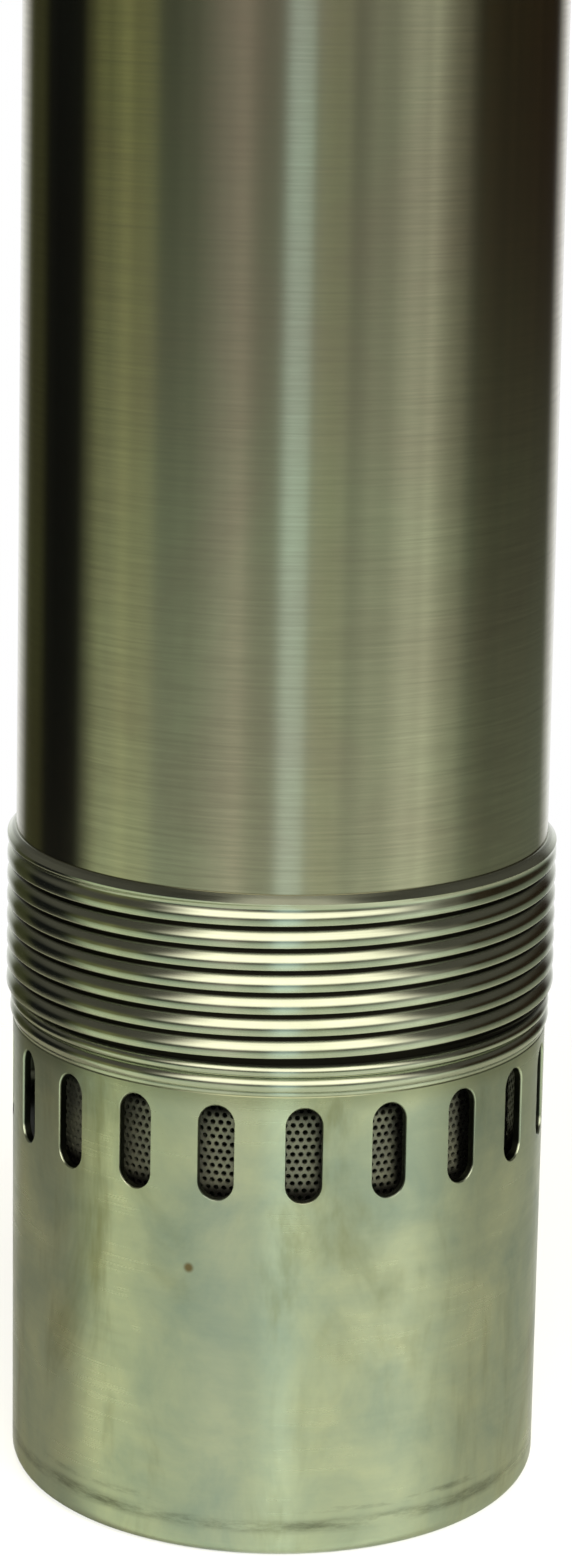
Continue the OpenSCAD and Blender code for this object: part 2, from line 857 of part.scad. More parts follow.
module delivery_head() {
    color("#979b88")
    difference() {
        union() {
            rotate_extrude()
                polygon([
                    [0, head_z0], [skirt_r, head_z0], [skirt_r, jacket_z1], [rim_r, jacket_z1],
                    [rim_r, jacket_z1 + rim_h], [rim_r - crown_in, jacket_z1 + crown_h],
                    [port_boss_r + neck_fillet, jacket_z1 + shoulder_h],
                    [port_boss_r, jacket_z1 + shoulder_h + neck_fillet],
                    [port_boss_r, head_z1 - edge_break], [port_boss_r - edge_break, head_z1], [0, head_z1]
                ]);
            rope_lug();
            rotate([0, 0, 180])
                rope_lug();
            translate([0, gland_y, jacket_z1 - conduit_lap])
                cylinder(r = gland_r, h = gland_rise + conduit_lap);
        }
        difference() {
            rotate_extrude()
                polygon([
                    [0, head_z0 - cut], [skirt_in, head_z0 - cut], [skirt_in, jacket_z1 + ceiling_step],
                    [port_boss_r + ceiling_in, jacket_z1 + ceiling_h],
                    [port_boss_r + ceiling_step, jacket_z1 + ceiling_h],
                    [port_boss_r + ceiling_step, valve_z - seat_h], [0, valve_z - seat_h]
                ]);
            translate([0, gland_y, jacket_z1 - conduit_lap])
                cylinder(r = gland_r, h = gland_floor + conduit_lap);
        }
        rotate_extrude()
            polygon([
                [0, valve_z - seat_h - cut], [seat_r, valve_z - seat_h - cut],
                [seat_r, valve_z], [chamber_r, valve_z],
                [chamber_r, head_z1 - port_h - chamber_cone], [port_r, head_z1 - port_h],
                [port_r, head_z1 - port_mouth], [port_r + port_mouth, head_z1 + cut], [0, head_z1 + cut]
            ]);
        for (x = [-lug_x, lug_x])
            translate([x, lug_t / 2 + cut, lug_z])
                rotate([90, 0, 0])
                    cylinder(r = eye_hole_r, h = lug_t + 2 * cut);
        translate([0, gland_y, jacket_z1 - conduit_lap - cut])
            cylinder(r = conduit_r + fit_gap, h = 2 * conduit_lap + cut);
        translate([0, gland_y, jacket_z1])
            cylinder(r = conduit_in, h = gland_z1 - jacket_z1);
        translate([0, gland_y, bush_seat_z])
            cylinder(r = bush_seat_r, h = gland_z1 - bush_seat_z + cut);
        oring_groove(skirt_r, head_oring_z);
        at_screws()
            translate([0, 0, skirt_in - cut])
                cylinder(r = screw_r + fit_gap, h = skirt_wall + 2 * cut);
    }
}

module head_oring() {
    color("#202020")
    oring(jacket_in, head_oring_z);
}

module head_screws() {
    color("#c4c6c2")
    union() {
        at_screws()
            translate([0, 0, skirt_in + cut])
                cylinder(r = screw_r, h = jacket_r - skirt_in);
        at_screws()
            translate([0, 0, jacket_r])
                cylinder(r = screw_head_r, h = screw_head_h);
    }
}

module valve_seat() {
    arm_r = poppet_r - seat_lap;
    color("#c0a050")
    union() {
        ring(arm_r, seat_r - fit_gap, valve_z - seat_h, valve_z);
        ring(stem_r + run_gap, stem_hub_r, stem_hub_z, valve_z - seat_h / 2);
        for (a = [90, 210, 330])
            rotate([0, 0, a])
                translate([stem_hub_r - arm_lap, -seat_arm_w / 2, valve_z - seat_h])
                    cube([arm_r - stem_hub_r + 2 * arm_lap, seat_arm_w, seat_h / 2]);
    }
}

module valve_poppet() {
    disc_z0 = valve_z + free_gap + gasket_t;
    color("#c0a050")
    rotate_extrude()
        polygon([
            [0, stop_z - stem_tip], [stem_r, stop_z - stem_tip], [stem_r, disc_z0], [poppet_r, disc_z0],
            [poppet_r, disc_z0 + poppet_rim],
            [stem_hub_r, disc_z0 + 2 * poppet_rim], [0, disc_z0 + 2 * poppet_rim]
        ]);
}

module valve_gasket() {
    color("#202020")
    ring(poppet_r - gasket_w, poppet_r, valve_z + free_gap, valve_z + free_gap + gasket_t);
}

module valve_stop_nut() {
    color("#c4c6c2")
    difference() {
        translate([0, 0, stop_z])
            linear_extrude(height = stop_h)
                circle(r = stem_hub_r, $fn = 6);
        translate([0, 0, stop_z - cut])
            cylinder(r = stem_r + fit_gap, h = stop_h + 2 * cut);
    }
}

module gland_bush() {
    color("#202020")
    translate([0, gland_y, 0])
        ring(cable_r, bush_seat_r - fit_gap, bush_seat_z, gland_z1 - gland_thread_h);
}

module gland_nut() {
    color("#c4c6c2")
    translate([0, gland_y, 0])
        difference() {
            union() {
                translate([0, 0, gland_z1])
                    linear_extrude(height = gland_hex_h)
                        circle(r = gland_hex_r, $fn = 6);
                translate([0, 0, gland_z1 - gland_thread_h])
                    cylinder(r = bush_seat_r - fit_gap, h = gland_thread_h + cut);
            }
            translate([0, 0, gland_z1 - gland_thread_h - cut])
                cylinder(r = cable_r + gland_mouth, h = gland_thread_h + gland_hex_h + 2 * cut);
        }
}

suction_sleeve();
strainer_screen();
threaded_collar();
outer_jacket();
inlet_plate();
inlet_oring();
lower_bush();
stage_casing(0);  // stage_casing_1
stage_casing(1);  // stage_casing_2
stage_casing(2);  // stage_casing_3
stage_casing(3);  // stage_casing_4
stage_casing(4);  // stage_casing_5
diffuser(0);  // diffuser_1
diffuser(1);  // diffuser_2
diffuser(2);  // diffuser_3
diffuser(3);  // diffuser_4
diffuser(4);  // diffuser_5
impeller(0);  // impeller_1
impeller(1);  // impeller_2
impeller(2);  // impeller_3
impeller(3);  // impeller_4
impeller(4);  // impeller_5
shaft();
impeller_key();
impeller_nut();
shaft_spacer();
seal_ring();
rotor_core();
discharge_lantern();
seal_seat();
lower_bracket();
bracket_oring();
outer_ring(lower_bearing_z);  // lower_outer_ring
inner_ring(lower_bearing_z);  // lower_inner_ring
ball_set(lower_bearing_z);  // lower_ball_set
outer_ring(upper_bearing_z);  // upper_outer_ring
inner_ring(upper_bearing_z);  // upper_inner_ring
ball_set(upper_bearing_z);  // upper_ball_set
motor_shell();
stator_core();
stator_windings();
upper_bracket();
run_capacitor();
motor_cover();
cover_oring();
cable_conduit();
delivery_head();
head_oring();
head_screws();
valve_seat();
valve_poppet();
valve_gasket();
valve_stop_nut();
gland_bush();
gland_nut();
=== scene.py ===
# %% [markdown]
# # A borehole pump, dressed
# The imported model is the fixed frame: it gives every solid its place. This lesson dresses it,
# from the camera and the light to the steel, the thread and the sieve behind the inlet slots.

# %% Load the frame
import json
import math
import bmesh
import bpy
from mathutils import Matrix, Vector


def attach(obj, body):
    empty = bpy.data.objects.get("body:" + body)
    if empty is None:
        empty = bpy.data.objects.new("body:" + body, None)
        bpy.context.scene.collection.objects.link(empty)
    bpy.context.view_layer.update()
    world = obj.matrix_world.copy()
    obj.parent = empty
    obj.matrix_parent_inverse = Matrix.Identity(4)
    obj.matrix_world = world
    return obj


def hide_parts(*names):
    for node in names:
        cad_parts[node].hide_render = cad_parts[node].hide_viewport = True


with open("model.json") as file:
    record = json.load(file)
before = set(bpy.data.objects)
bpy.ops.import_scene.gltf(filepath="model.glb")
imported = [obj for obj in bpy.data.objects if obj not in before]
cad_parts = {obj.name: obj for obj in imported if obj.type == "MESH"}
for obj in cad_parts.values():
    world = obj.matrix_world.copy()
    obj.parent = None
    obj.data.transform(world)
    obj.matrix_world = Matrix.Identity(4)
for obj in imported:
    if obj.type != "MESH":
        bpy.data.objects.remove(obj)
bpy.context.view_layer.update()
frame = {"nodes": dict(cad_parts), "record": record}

# %% [markdown]
# ## Sizes
# The pieces below repeat the drawing's sizes in millimetres and turn them into metres at the last
# moment, because people read a pump in millimetres and Blender measures in metres.

# %% Sizes shared by several pieces
MM = 0.001
# outer jacket, a welded tube: radii, lower and upper end
JACKET_R, JACKET_IN = 63.5, 61.5
JACKET_Z0, JACKET_Z1 = 150.5, 800.0
# suction sleeve, a drawn cup that is a little narrower at its base
SLEEVE_R, BASE_R, SLEEVE_H = 64.0, 63.4, 110.0
# inlet slots: width, length, lower end, number, and the first one's turn in degrees
SLOT_W, SLOT_LEN, SLOT_Z0 = 8.2, 22.0, 85.0
SLOT_COUNT, SLOT_TURN = 20, 5.6
# threaded collar: crest radius, pitch, height of a groove near the top, bore and top
THREAD_R, THREAD_PITCH, GROOVE_Z = 65.6, 5.08, 149.0
COLLAR_IN, COLLAR_Z1 = 60.0, 156.5
print("sleeve", SLEEVE_R, "jacket", JACKET_R, "thread", THREAD_R)

# %% [markdown]
# ## Camera
# The photograph looks a little down on the lower end of the pump, from about 0.9 m away. The
# picture is a crop, so the lens is shifted downwards as an architect's lens would be. The numbers
# come from fitting the pump's outlines and the curves of its rims.

# %% Camera
SENSOR_MM, LENS_MM, LENS_SHIFT = 36.0, 87.316, -0.25
CAMERA_PLACE = (0.0, -0.88233, 0.38721)
CAMERA_TURN = (81.8656, -0.9757, 0.1970)
lens = bpy.data.cameras.new("photo_camera")
lens.sensor_width = SENSOR_MM
lens.sensor_fit = "AUTO"
lens.lens = LENS_MM
lens.shift_y = LENS_SHIFT
lens.clip_end = 100.0
camera = bpy.data.objects.new("photo_camera", lens)
camera.location = CAMERA_PLACE
camera.rotation_euler = [math.radians(a) for a in CAMERA_TURN]
bpy.context.collection.objects.link(camera)
bpy.context.scene.camera = camera
bpy.context.scene.view_settings.view_transform = "Standard"
print("camera at", tuple(camera.location))


# %% [markdown]
# ## Two small helpers
# Colours are written as the hex values that a colour picker shows, and turned to linear light once.
# A node tree is easier to read when one call adds a node with its settings, its links and, for a
# colour ramp, its stops. A link may name a node, which then stands for its first output.

# %% Colour and node helpers
def linear(hex_colour):
    channels = [int(hex_colour[i:i + 2], 16) / 255 for i in (1, 3, 5)]
    # the sRGB curve: a straight line near black, a power above it
    return [c / 12.92 if c <= 0.04045 else ((c + 0.055) / 1.055) ** 2.4 for c in channels] + [1.0]


def add(tree, kind, settings=None, values=None, links=None, stops=()):
    node = tree.nodes.new(kind)
    for key, value in (settings or {}).items():
        setattr(node, key, value)
    for key, value in (values or {}).items():
        node.inputs[key].default_value = value
    for key, source in (links or {}).items():
        output = source.outputs[0] if isinstance(source, bpy.types.Node) else source
        tree.links.new(output, node.inputs[key])
    if stops:
        elements = node.color_ramp.elements
        while len(elements) < len(stops):
            elements.new(0.5)
        for element, (place, colour) in zip(elements, stops):
            element.position, element.color = place, linear(colour)
    return node


# settings that many nodes share
SMOOTH = {"interpolation_type": "SMOOTHSTEP"}
ADD, SUBTRACT = {"operation": "ADD"}, {"operation": "SUBTRACT"}
MULTIPLY, MULTIPLY_ADD = {"operation": "MULTIPLY"}, {"operation": "MULTIPLY_ADD"}
LEAST, MOST = {"operation": "MINIMUM"}, {"operation": "MAXIMUM"}
ABSOLUTE, ARCTAN2 = {"operation": "ABSOLUTE"}, {"operation": "ARCTAN2"}
SCALE, LENGTH = {"operation": "SCALE"}, {"operation": "LENGTH"}
print("olive steel in linear light:", [round(c, 3) for c in linear("#b9bd9f")])

# %% [markdown]
# ## Room
# Polished metal shows the room more than its own colour. The pump stood in front of a white
# backdrop, in a room with dark corners, a window to the left, a paler wall to the right and a narrow
# bright gap beside the camera. A picture of a room could light it, but a world that depends on the
# compass direction gives the same upright bands with a few colours. Each stop below is a place on the
# compass, where 0 and 1 are straight behind and 0.5 is towards the camera, and what hangs there.

# %% Walls
WALLS = [
    (0.000, "#ffffff"), (0.030, "#f2f2ee"), (0.055, "#55564f"), (0.095, "#4a4b34"),
    (0.135, "#45462f"), (0.160, "#181919"), (0.226, "#181919"), (0.260, "#757551"),
    (0.318, "#87865e"), (0.346, "#44473c"), (0.388, "#484b41"), (0.424, "#7a746f"),
    (0.443, "#9a8f89"), (0.464, "#5c5953"), (0.486, "#62615a"), (0.497, "#bdd0d3"),
    (0.519, "#bccfd0"), (0.527, "#7b7b6e"), (0.548, "#8a8b75"), (0.575, "#6e6d64"),
    (0.610, "#84857a"), (0.645, "#aeada2"), (0.672, "#b8b7aa"), (0.694, "#827e72"),
    (0.735, "#33291d"), (0.935, "#2d231a"), (0.965, "#e8e8e4"), (1.000, "#ffffff"),
]
world = bpy.data.worlds.new("studio")
bpy.context.scene.world = world
world.use_nodes = True
tree = world.node_tree
tree.nodes.clear()
direction = add(tree, "ShaderNodeTexCoord")
parts = add(tree, "ShaderNodeSeparateXYZ", links={"Vector": direction.outputs["Generated"]})
front = add(tree, "ShaderNodeMath", MULTIPLY, {1: -1.0}, {0: parts.outputs["Y"]})
compass = add(tree, "ShaderNodeMath", ARCTAN2, links={0: parts.outputs["X"], 1: front})
turn = add(tree, "ShaderNodeMapRange", values={"From Min": -math.pi, "From Max": math.pi},
           links={"Value": compass})
walls = add(tree, "ShaderNodeValToRGB", links={"Fac": turn}, stops=WALLS)
# narrow upright streaks: the clutter of a workshop
# noise seldom leaves this range, so it is stretched from here to the full contrast
NOISE_LOW, NOISE_HIGH = 0.3, 0.7
clutter = add(tree, "ShaderNodeTexNoise", {"noise_dimensions": "1D"},
              {"Scale": 46.0, "Detail": 3.0}, {"W": turn})
uneven = add(tree, "ShaderNodeMapRange",
             values={"From Min": NOISE_LOW, "From Max": NOISE_HIGH, "To Min": 0.78, "To Max": 1.22},
             links={"Value": clutter.outputs["Fac"]})
bare_walls = add(tree, "ShaderNodeVectorMath", SCALE,
                 links={0: walls.outputs["Color"], "Scale": uneven})
print("compass bands:", len(WALLS))

# %% [markdown]
# ## Light from the floor
# The lower a wall, the more light it gets from a pale floor. That makes the foot of the tube brighter
# than its top. The dark corners at both sides get little of it, so the bands stay apart there.

# %% Glow above the floor
# heights on the unit ball of directions, where 0 is the horizon
GLOW_FULL_Z, GLOW_END_Z = -0.36, -0.08
floor_glow = add(tree, "ShaderNodeMapRange", SMOOTH,
                 {"From Min": GLOW_FULL_Z, "From Max": GLOW_END_Z, "To Min": 0.64, "To Max": 0.0},
                 {"Value": parts.outputs["Z"]})
left_corner = add(tree, "ShaderNodeMapRange", SMOOTH, {"From Min": 0.215, "From Max": 0.275},
                  {"Value": turn})
right_corner = add(tree, "ShaderNodeMapRange", SMOOTH,
                   {"From Min": 0.69, "From Max": 0.77, "To Min": 1.0, "To Max": 0.42},
                   {"Value": turn})
open_side = add(tree, "ShaderNodeMath", LEAST, links={0: left_corner, 1: right_corner})
corner_glow = add(tree, "ShaderNodeMath", MULTIPLY, links={0: floor_glow, 1: open_side})
lit_walls = add(tree, "ShaderNodeVectorMath", MULTIPLY_ADD, {1: linear("#ebfde2")[:3]},
                {0: corner_glow, 2: bare_walls})
print("the floor's glow fades from height", GLOW_FULL_Z, "to", GLOW_END_Z)

# %% [markdown]
# ## Ceiling
# A row of lamps hangs in front of the pump and a little to the right. Only faces that look up see it,
# such as the thread's upper flanks, so it draws the cream lines on the ridges. It is dimmer straight
# overhead, because the row ends before it gets there.

# %% Lamps on the ceiling
LAMP_TURN = 0.515
off_lamp = add(tree, "ShaderNodeMath", SUBTRACT, {1: LAMP_TURN}, {0: turn})
lamp_side = add(tree, "ShaderNodeMath", ABSOLUTE, links={0: off_lamp})
lamp_row = add(tree, "ShaderNodeMapRange", SMOOTH,
               {"From Min": 0.105, "From Max": 0.18, "To Min": 2.2, "To Max": 0.10},
               {"Value": lamp_side})
overhead = add(tree, "ShaderNodeMapRange", SMOOTH,
               {"From Min": 0.80, "From Max": 0.96, "To Min": 1.0, "To Max": 0.30},
               {"Value": parts.outputs["Z"]})
lamp_glow = add(tree, "ShaderNodeMath", MULTIPLY, links={0: lamp_row, 1: overhead})
ceiling_colour = add(tree, "ShaderNodeVectorMath", SCALE, {0: linear("#fff8e6")[:3]},
                     {"Scale": lamp_glow})
ceiling = add(tree, "ShaderNodeMapRange", SMOOTH, {"From Min": 0.10, "From Max": 0.40},
              {"Value": parts.outputs["Z"]})
room = add(tree, "ShaderNodeMixRGB", links={
    "Fac": ceiling, "Color1": lit_walls, "Color2": ceiling_colour})
print("lamps at", LAMP_TURN, "of the compass")

# %% [markdown]
# ## Backdrop
# The camera sees white all round. The steel sees white only straight behind the pump, where the
# backdrop hung, so that its edges stay pale and the rest of it shows the room.

# %% Backdrop and world output
WHITE = (1, 1, 1, 1)
room_light = add(tree, "ShaderNodeBackground", values={"Strength": 1.0}, links={"Color": room})
backdrop_light = add(tree, "ShaderNodeBackground", values={"Color": WHITE, "Strength": 1.0})
behind = add(tree, "ShaderNodeMapRange", values={"From Min": 0.80, "From Max": 0.95},
             links={"Value": parts.outputs["Y"]})
rays = add(tree, "ShaderNodeLightPath")
mirror_rays = add(tree, "ShaderNodeMath", MOST, links={
    0: rays.outputs["Is Glossy Ray"], 1: rays.outputs["Is Transmission Ray"]})
backdrop_seen = add(tree, "ShaderNodeMath", MULTIPLY, links={0: mirror_rays, 1: behind})
white_seen = add(tree, "ShaderNodeMath", MOST,
                 links={0: rays.outputs["Is Camera Ray"], 1: backdrop_seen})
mixed = add(tree, "ShaderNodeMixShader", links={0: white_seen, 1: room_light, 2: backdrop_light})
add(tree, "ShaderNodeOutputWorld", links={"Surface": mixed})
print("world nodes:", len(tree.nodes))


# %% [markdown]
# ## Lamps
# Two soft boxes light what is dull: the floor, the walls of the slots and the sheet behind them. They are
# kept out of mirror reflections, because the steel shows the room, and the hard edge of a soft box would
# show on the tube.

# %% Lamps
def soft_box(name, place, aim, size, power, colour):
    lamp = bpy.data.lights.new(name, "AREA")
    lamp.shape = "RECTANGLE"
    lamp.size, lamp.size_y = size
    lamp.energy = power
    lamp.color = linear(colour)[:3]
    thing = bpy.data.objects.new(name, lamp)
    thing.location = place
    thing.rotation_euler = (Vector(aim) - Vector(place)).to_track_quat("-Z", "Y").to_euler()
    thing.visible_glossy = False
    bpy.context.collection.objects.link(thing)


soft_box("top_soft_box", place=(0.0, -0.75, 1.25), aim=(0, 0, 0.15), size=(0.9, 0.5), power=9.0,
         colour="#fff4dc")
soft_box("right_soft_box", place=(0.75, -0.95, 0.75), aim=(0, 0, 0.1), size=(0.25, 0.35), power=7.0,
         colour="#fff8ea")

# %% [markdown]
# ## Floor
# A pale round floor carries the pump's shadow. It could be a large plane, but a disc that fades out at
# its rim lets the tube higher up show the room while the sleeve shows the pale floor.

# %% Floor disc
FLOOR_R = 0.6
shape = bmesh.new()
bmesh.ops.create_circle(shape, cap_ends=True, segments=96, radius=FLOOR_R)
floor_mesh = bpy.data.meshes.new("floor")
shape.to_mesh(floor_mesh)
shape.free()
floor = bpy.data.objects.new("floor", floor_mesh)
bpy.context.collection.objects.link(floor)
print("floor radius", FLOOR_R, "m")

# %% [markdown]
# ## Floor paint
# Matt paint scatters all light, so its colour is a plain diffuse one. The camera also sees a little
# glow in it, which joins the floor to the white backdrop and still keeps the shadow.

# %% Floor paint
FAINT_IN_STEEL = 0.58


def blank_material(name):
    material = bpy.data.materials.new(name)
    material.use_nodes = True
    material.node_tree.nodes.clear()
    return material, material.node_tree


paint, tree = blank_material("pale_floor_paint")
place = add(tree, "ShaderNodeTexCoord")
distance = add(tree, "ShaderNodeVectorMath", LENGTH, links={0: place.outputs["Object"]})
fade = add(tree, "ShaderNodeMapRange", SMOOTH, {"From Min": 0.16, "From Max": 0.50, "To Min": 0.35},
           {"Value": distance.outputs["Value"]})
seen = add(tree, "ShaderNodeLightPath")
# in the steel's reflection the floor is fainter, so the sleeve keeps some of the room's bands
faint = add(tree, "ShaderNodeMath", MULTIPLY, {1: FAINT_IN_STEEL}, {0: seen.outputs["Is Glossy Ray"]})
thin = add(tree, "ShaderNodeMath", MOST, links={0: fade, 1: faint})
matte = add(tree, "ShaderNodeBsdfDiffuse", values={"Color": linear("#e9eadf")})
glow = add(tree, "ShaderNodeEmission", values={"Color": WHITE, "Strength": 0.55})
lit = add(tree, "ShaderNodeAddShader", links={0: matte, 1: glow})
clear = add(tree, "ShaderNodeBsdfTransparent")
own = add(tree, "ShaderNodeMixShader", links={0: seen.outputs["Is Camera Ray"], 1: matte, 2: lit})
surface = add(tree, "ShaderNodeMixShader", links={0: thin, 1: own, 2: clear})
add(tree, "ShaderNodeOutputMaterial", links={"Surface": surface})
floor_mesh.materials.append(paint)
print("floor paint:", paint.name)


# %% [markdown]
# ## Metals
# Stainless steel is one alloy with many faces. The jacket was brushed round and round, the sleeve was
# blasted and handled until it went satin and blotchy, and the collar came bright off the lathe. One
# function makes them all. Its arguments are the finish's colours, its roughness, the spacing, depth and
# length of its tool marks and the size of its blotches in millimetres, how strongly the marks show, and a
# layer of stains and painted shade to lay over it. A turned or brushed face stretches each highlight across
# its marks, which the shader's anisotropy gives.

# %% One function for all steels
# a quarter of a turn, from along the marks to across them
ACROSS_THE_MARKS = 0.25


def steel(name, pale, dark, rough, mark_mm, mark_depth, blotch_mm,
          streaks=0.08, aniso=0.0, stain_and_shade=None, mark_length=167.0, metal=1.0):
    material, tree = blank_material(name)
    place = add(tree, "ShaderNodeTexCoord")
    # marks run round the axis: they change quickly along Z and slowly across
    per_metre = (1000.0 / mark_length, 1000.0 / mark_length, 1000.0 / mark_mm)
    stretched = add(tree, "ShaderNodeMapping", values={"Scale": per_metre},
                    links={"Vector": place.outputs["Object"]})
    marks = add(tree, "ShaderNodeTexNoise", values={"Scale": 1.0, "Detail": 4.0, "Roughness": 0.65},
                links={"Vector": stretched})
    blotches = add(tree, "ShaderNodeTexNoise", values={
        "Scale": 1000.0 / blotch_mm, "Detail": 6.0, "Roughness": 0.6, "Distortion": 0.4},
        links={"Vector": place.outputs["Object"]})
    tone = add(tree, "ShaderNodeValToRGB", links={"Fac": blotches.outputs["Fac"]},
               stops=[(0.32, dark), (0.68, pale)])
    streak = add(tree, "ShaderNodeMapRange", values={
        "From Min": NOISE_LOW, "From Max": NOISE_HIGH,
        "To Min": 1.0 - streaks, "To Max": 1.0 + streaks},
        links={"Value": marks.outputs["Fac"]})
    colour = add(tree, "ShaderNodeMixRGB", {"blend_type": "MULTIPLY"}, {"Fac": 1.0},
                 {"Color1": tone.outputs["Color"], "Color2": streak})
    rough_mix = add(tree, "ShaderNodeMath", ADD,
                    links={0: blotches.outputs["Fac"], 1: marks.outputs["Fac"]})
    roughness = add(tree, "ShaderNodeMapRange", values={
        "From Min": 2 * NOISE_LOW, "From Max": 2 * NOISE_HIGH,
        "To Min": rough * 1.2, "To Max": rough * 0.8},
        links={"Value": rough_mix})
    # this layer holds real stains and also painted shade and shadow
    if stain_and_shade:
        colour, roughness = stain_and_shade(tree, place, colour, roughness)
    bump = add(tree, "ShaderNodeBump", values={"Strength": 0.35, "Distance": mark_depth * MM},
               links={"Height": marks.outputs["Fac"]})
    shader = add(tree, "ShaderNodeBsdfPrincipled", values={
        "Metallic": metal, "Anisotropic": aniso, "Anisotropic Rotation": ACROSS_THE_MARKS},
        links={"Base Color": colour, "Roughness": roughness, "Normal": bump})
    if aniso:
        around = add(tree, "ShaderNodeTangent", {"direction_type": "RADIAL", "axis": "Z"})
        tree.links.new(around.outputs[0], shader.inputs["Tangent"])
    add(tree, "ShaderNodeOutputMaterial", links={"Surface": shader})
    print("steel:", name)
    return material


# %% [markdown]
# ## Wear near the base and shade under the bead
# The pump was set down and dragged, so two scuffed rings run round its foot, and water ran down from the
# slots and left olive marks. Both are noise with a mask of height: stretched round for the scuffs,
# stretched upright for the runs. The band under the collar's bead is darkened too, as painted shade.

# %% Scuffed rings, run marks and painted shade under the bead
# height of each ring, half its width, and how much noise it takes for dirt to show
SCUFFS = ((0.0078, 0.0023, 0.42), (0.0116, 0.0011, 0.52))


def scuffed_rings(tree, place, colour, rough):
    parts = add(tree, "ShaderNodeSeparateXYZ", links={"Vector": place.outputs["Object"]})
    stretched = add(tree, "ShaderNodeMapping", values={"Scale": (0.5, 0.5, 2.5)},
                    links={"Vector": place.outputs["Object"]})
    # patches about 13 mm across, drawn out to 26 mm round the foot
    patches = add(tree, "ShaderNodeTexNoise", values={"Scale": 75.0, "Detail": 6.0, "Roughness": 0.75},
                  links={"Vector": stretched})
    for height, half, least in SCUFFS:
        off = add(tree, "ShaderNodeMath", SUBTRACT, {1: height}, {0: parts.outputs["Z"]})
        away = add(tree, "ShaderNodeMath", ABSOLUTE, links={0: off})
        near = add(tree, "ShaderNodeMapRange", SMOOTH,
                   {"From Min": half * 0.2, "From Max": half, "To Min": 1.0, "To Max": 0.0},
                   {"Value": away})
        thick = add(tree, "ShaderNodeMapRange",
                    values={"From Min": least, "From Max": least + 0.32, "To Max": 0.85},
                    links={"Value": patches.outputs["Fac"]})
        dirt = add(tree, "ShaderNodeMath", MULTIPLY, links={0: near, 1: thick})
        colour = add(tree, "ShaderNodeMixRGB", values={"Color2": linear("#45483a")},
                     links={"Fac": dirt, "Color1": colour})
    duller = add(tree, "ShaderNodeMath", MULTIPLY_ADD, {1: 0.25}, {0: dirt, 2: rough})
    return colour, duller


def runs_and_bead_shade(tree, place, colour):
    parts = add(tree, "ShaderNodeSeparateXYZ", links={"Vector": place.outputs["Object"]})
    hanging = add(tree, "ShaderNodeMapping", values={"Scale": (1.0, 1.0, 0.3)},
                  links={"Vector": place.outputs["Object"]})
    # runs about 26 mm apart and three times as long
    runs = add(tree, "ShaderNodeTexNoise", values={
        "Scale": 38.0, "Detail": 5.0, "Roughness": 0.65, "Distortion": 0.6},
        links={"Vector": hanging})
    marked = add(tree, "ShaderNodeMapRange", SMOOTH,
                 {"From Min": 0.50, "From Max": 0.74, "To Max": 0.65}, {"Value": runs.outputs["Fac"]})
    # painted shade: the band just under the collar's bead is darkened
    painted_shade_under_bead = add(tree, "ShaderNodeMapRange", SMOOTH,
                     {"From Min": 0.1045, "From Max": 0.1100, "To Max": 0.45},
                     {"Value": parts.outputs["Z"]})
    shaded = add(tree, "ShaderNodeMath", MOST, links={0: marked, 1: painted_shade_under_bead})
    return add(tree, "ShaderNodeMixRGB", values={"Color2": linear("#86875f")},
               links={"Fac": shaded, "Color1": colour})


print("scuffed rings:", len(SCUFFS))


# %% [markdown]
# ## Painted shade in the slots and a rust speck
# The slots' walls are darkened nearly to black behind their bright mouths, as painted shade. A mask of the
# distance from the axis finds them, because they lie deeper than the skin. One speck of rust sits on the
# front, 2 mm across.

# %% Painted slot shade, rust speck and the whole sleeve's wear and shade
SPECK = (-0.01955, -0.0608, 0.0683)


def from_axis(tree, place):
    parts = add(tree, "ShaderNodeSeparateXYZ", links={"Vector": place.outputs["Object"]})
    flat = add(tree, "ShaderNodeCombineXYZ", links={"X": parts.outputs["X"], "Y": parts.outputs["Y"]})
    radius = add(tree, "ShaderNodeVectorMath", LENGTH, links={0: flat})
    return radius.outputs["Value"], parts.outputs["Z"]


def painted_slot_wall_shade(tree, place, colour):
    radius, height = from_axis(tree, place)
    # painted shade: the slot walls, deeper than the skin, are darkened nearly to black
    deep = add(tree, "ShaderNodeMapRange", SMOOTH,
               {"From Min": 0.0633, "From Max": 0.0637, "To Min": 0.94, "To Max": 0.0}, {"Value": radius})
    slot_band = add(tree, "ShaderNodeMapRange", values={"From Min": 0.080, "From Max": 0.083},
                    links={"Value": height})
    wall_shade = add(tree, "ShaderNodeMath", MULTIPLY, links={0: deep, 1: slot_band})
    return add(tree, "ShaderNodeMixRGB", values={"Color2": linear("#15140f")},
               links={"Fac": wall_shade, "Color1": colour})


def rust_speck(tree, place, colour):
    away = add(tree, "ShaderNodeVectorMath", {"operation": "DISTANCE"}, {1: SPECK},
               {0: place.outputs["Object"]})
    speck = add(tree, "ShaderNodeMapRange", SMOOTH,
                {"From Min": 0.0005, "From Max": 0.0016, "To Min": 0.8, "To Max": 0.0},
                {"Value": away.outputs["Value"]})
    return add(tree, "ShaderNodeMixRGB", values={"Color2": linear("#6e5214")},
               links={"Fac": speck, "Color1": colour})


def sleeve_wear_and_shade(tree, place, colour, rough):
    # real scuffs, runs and rust, with painted shade under the bead and in the slots
    colour, rough = scuffed_rings(tree, place, colour, rough)
    for layer in (runs_and_bead_shade, painted_slot_wall_shade, rust_speck):
        colour = layer(tree, place, colour)
    return colour, rough


print("rust speck at", SPECK)
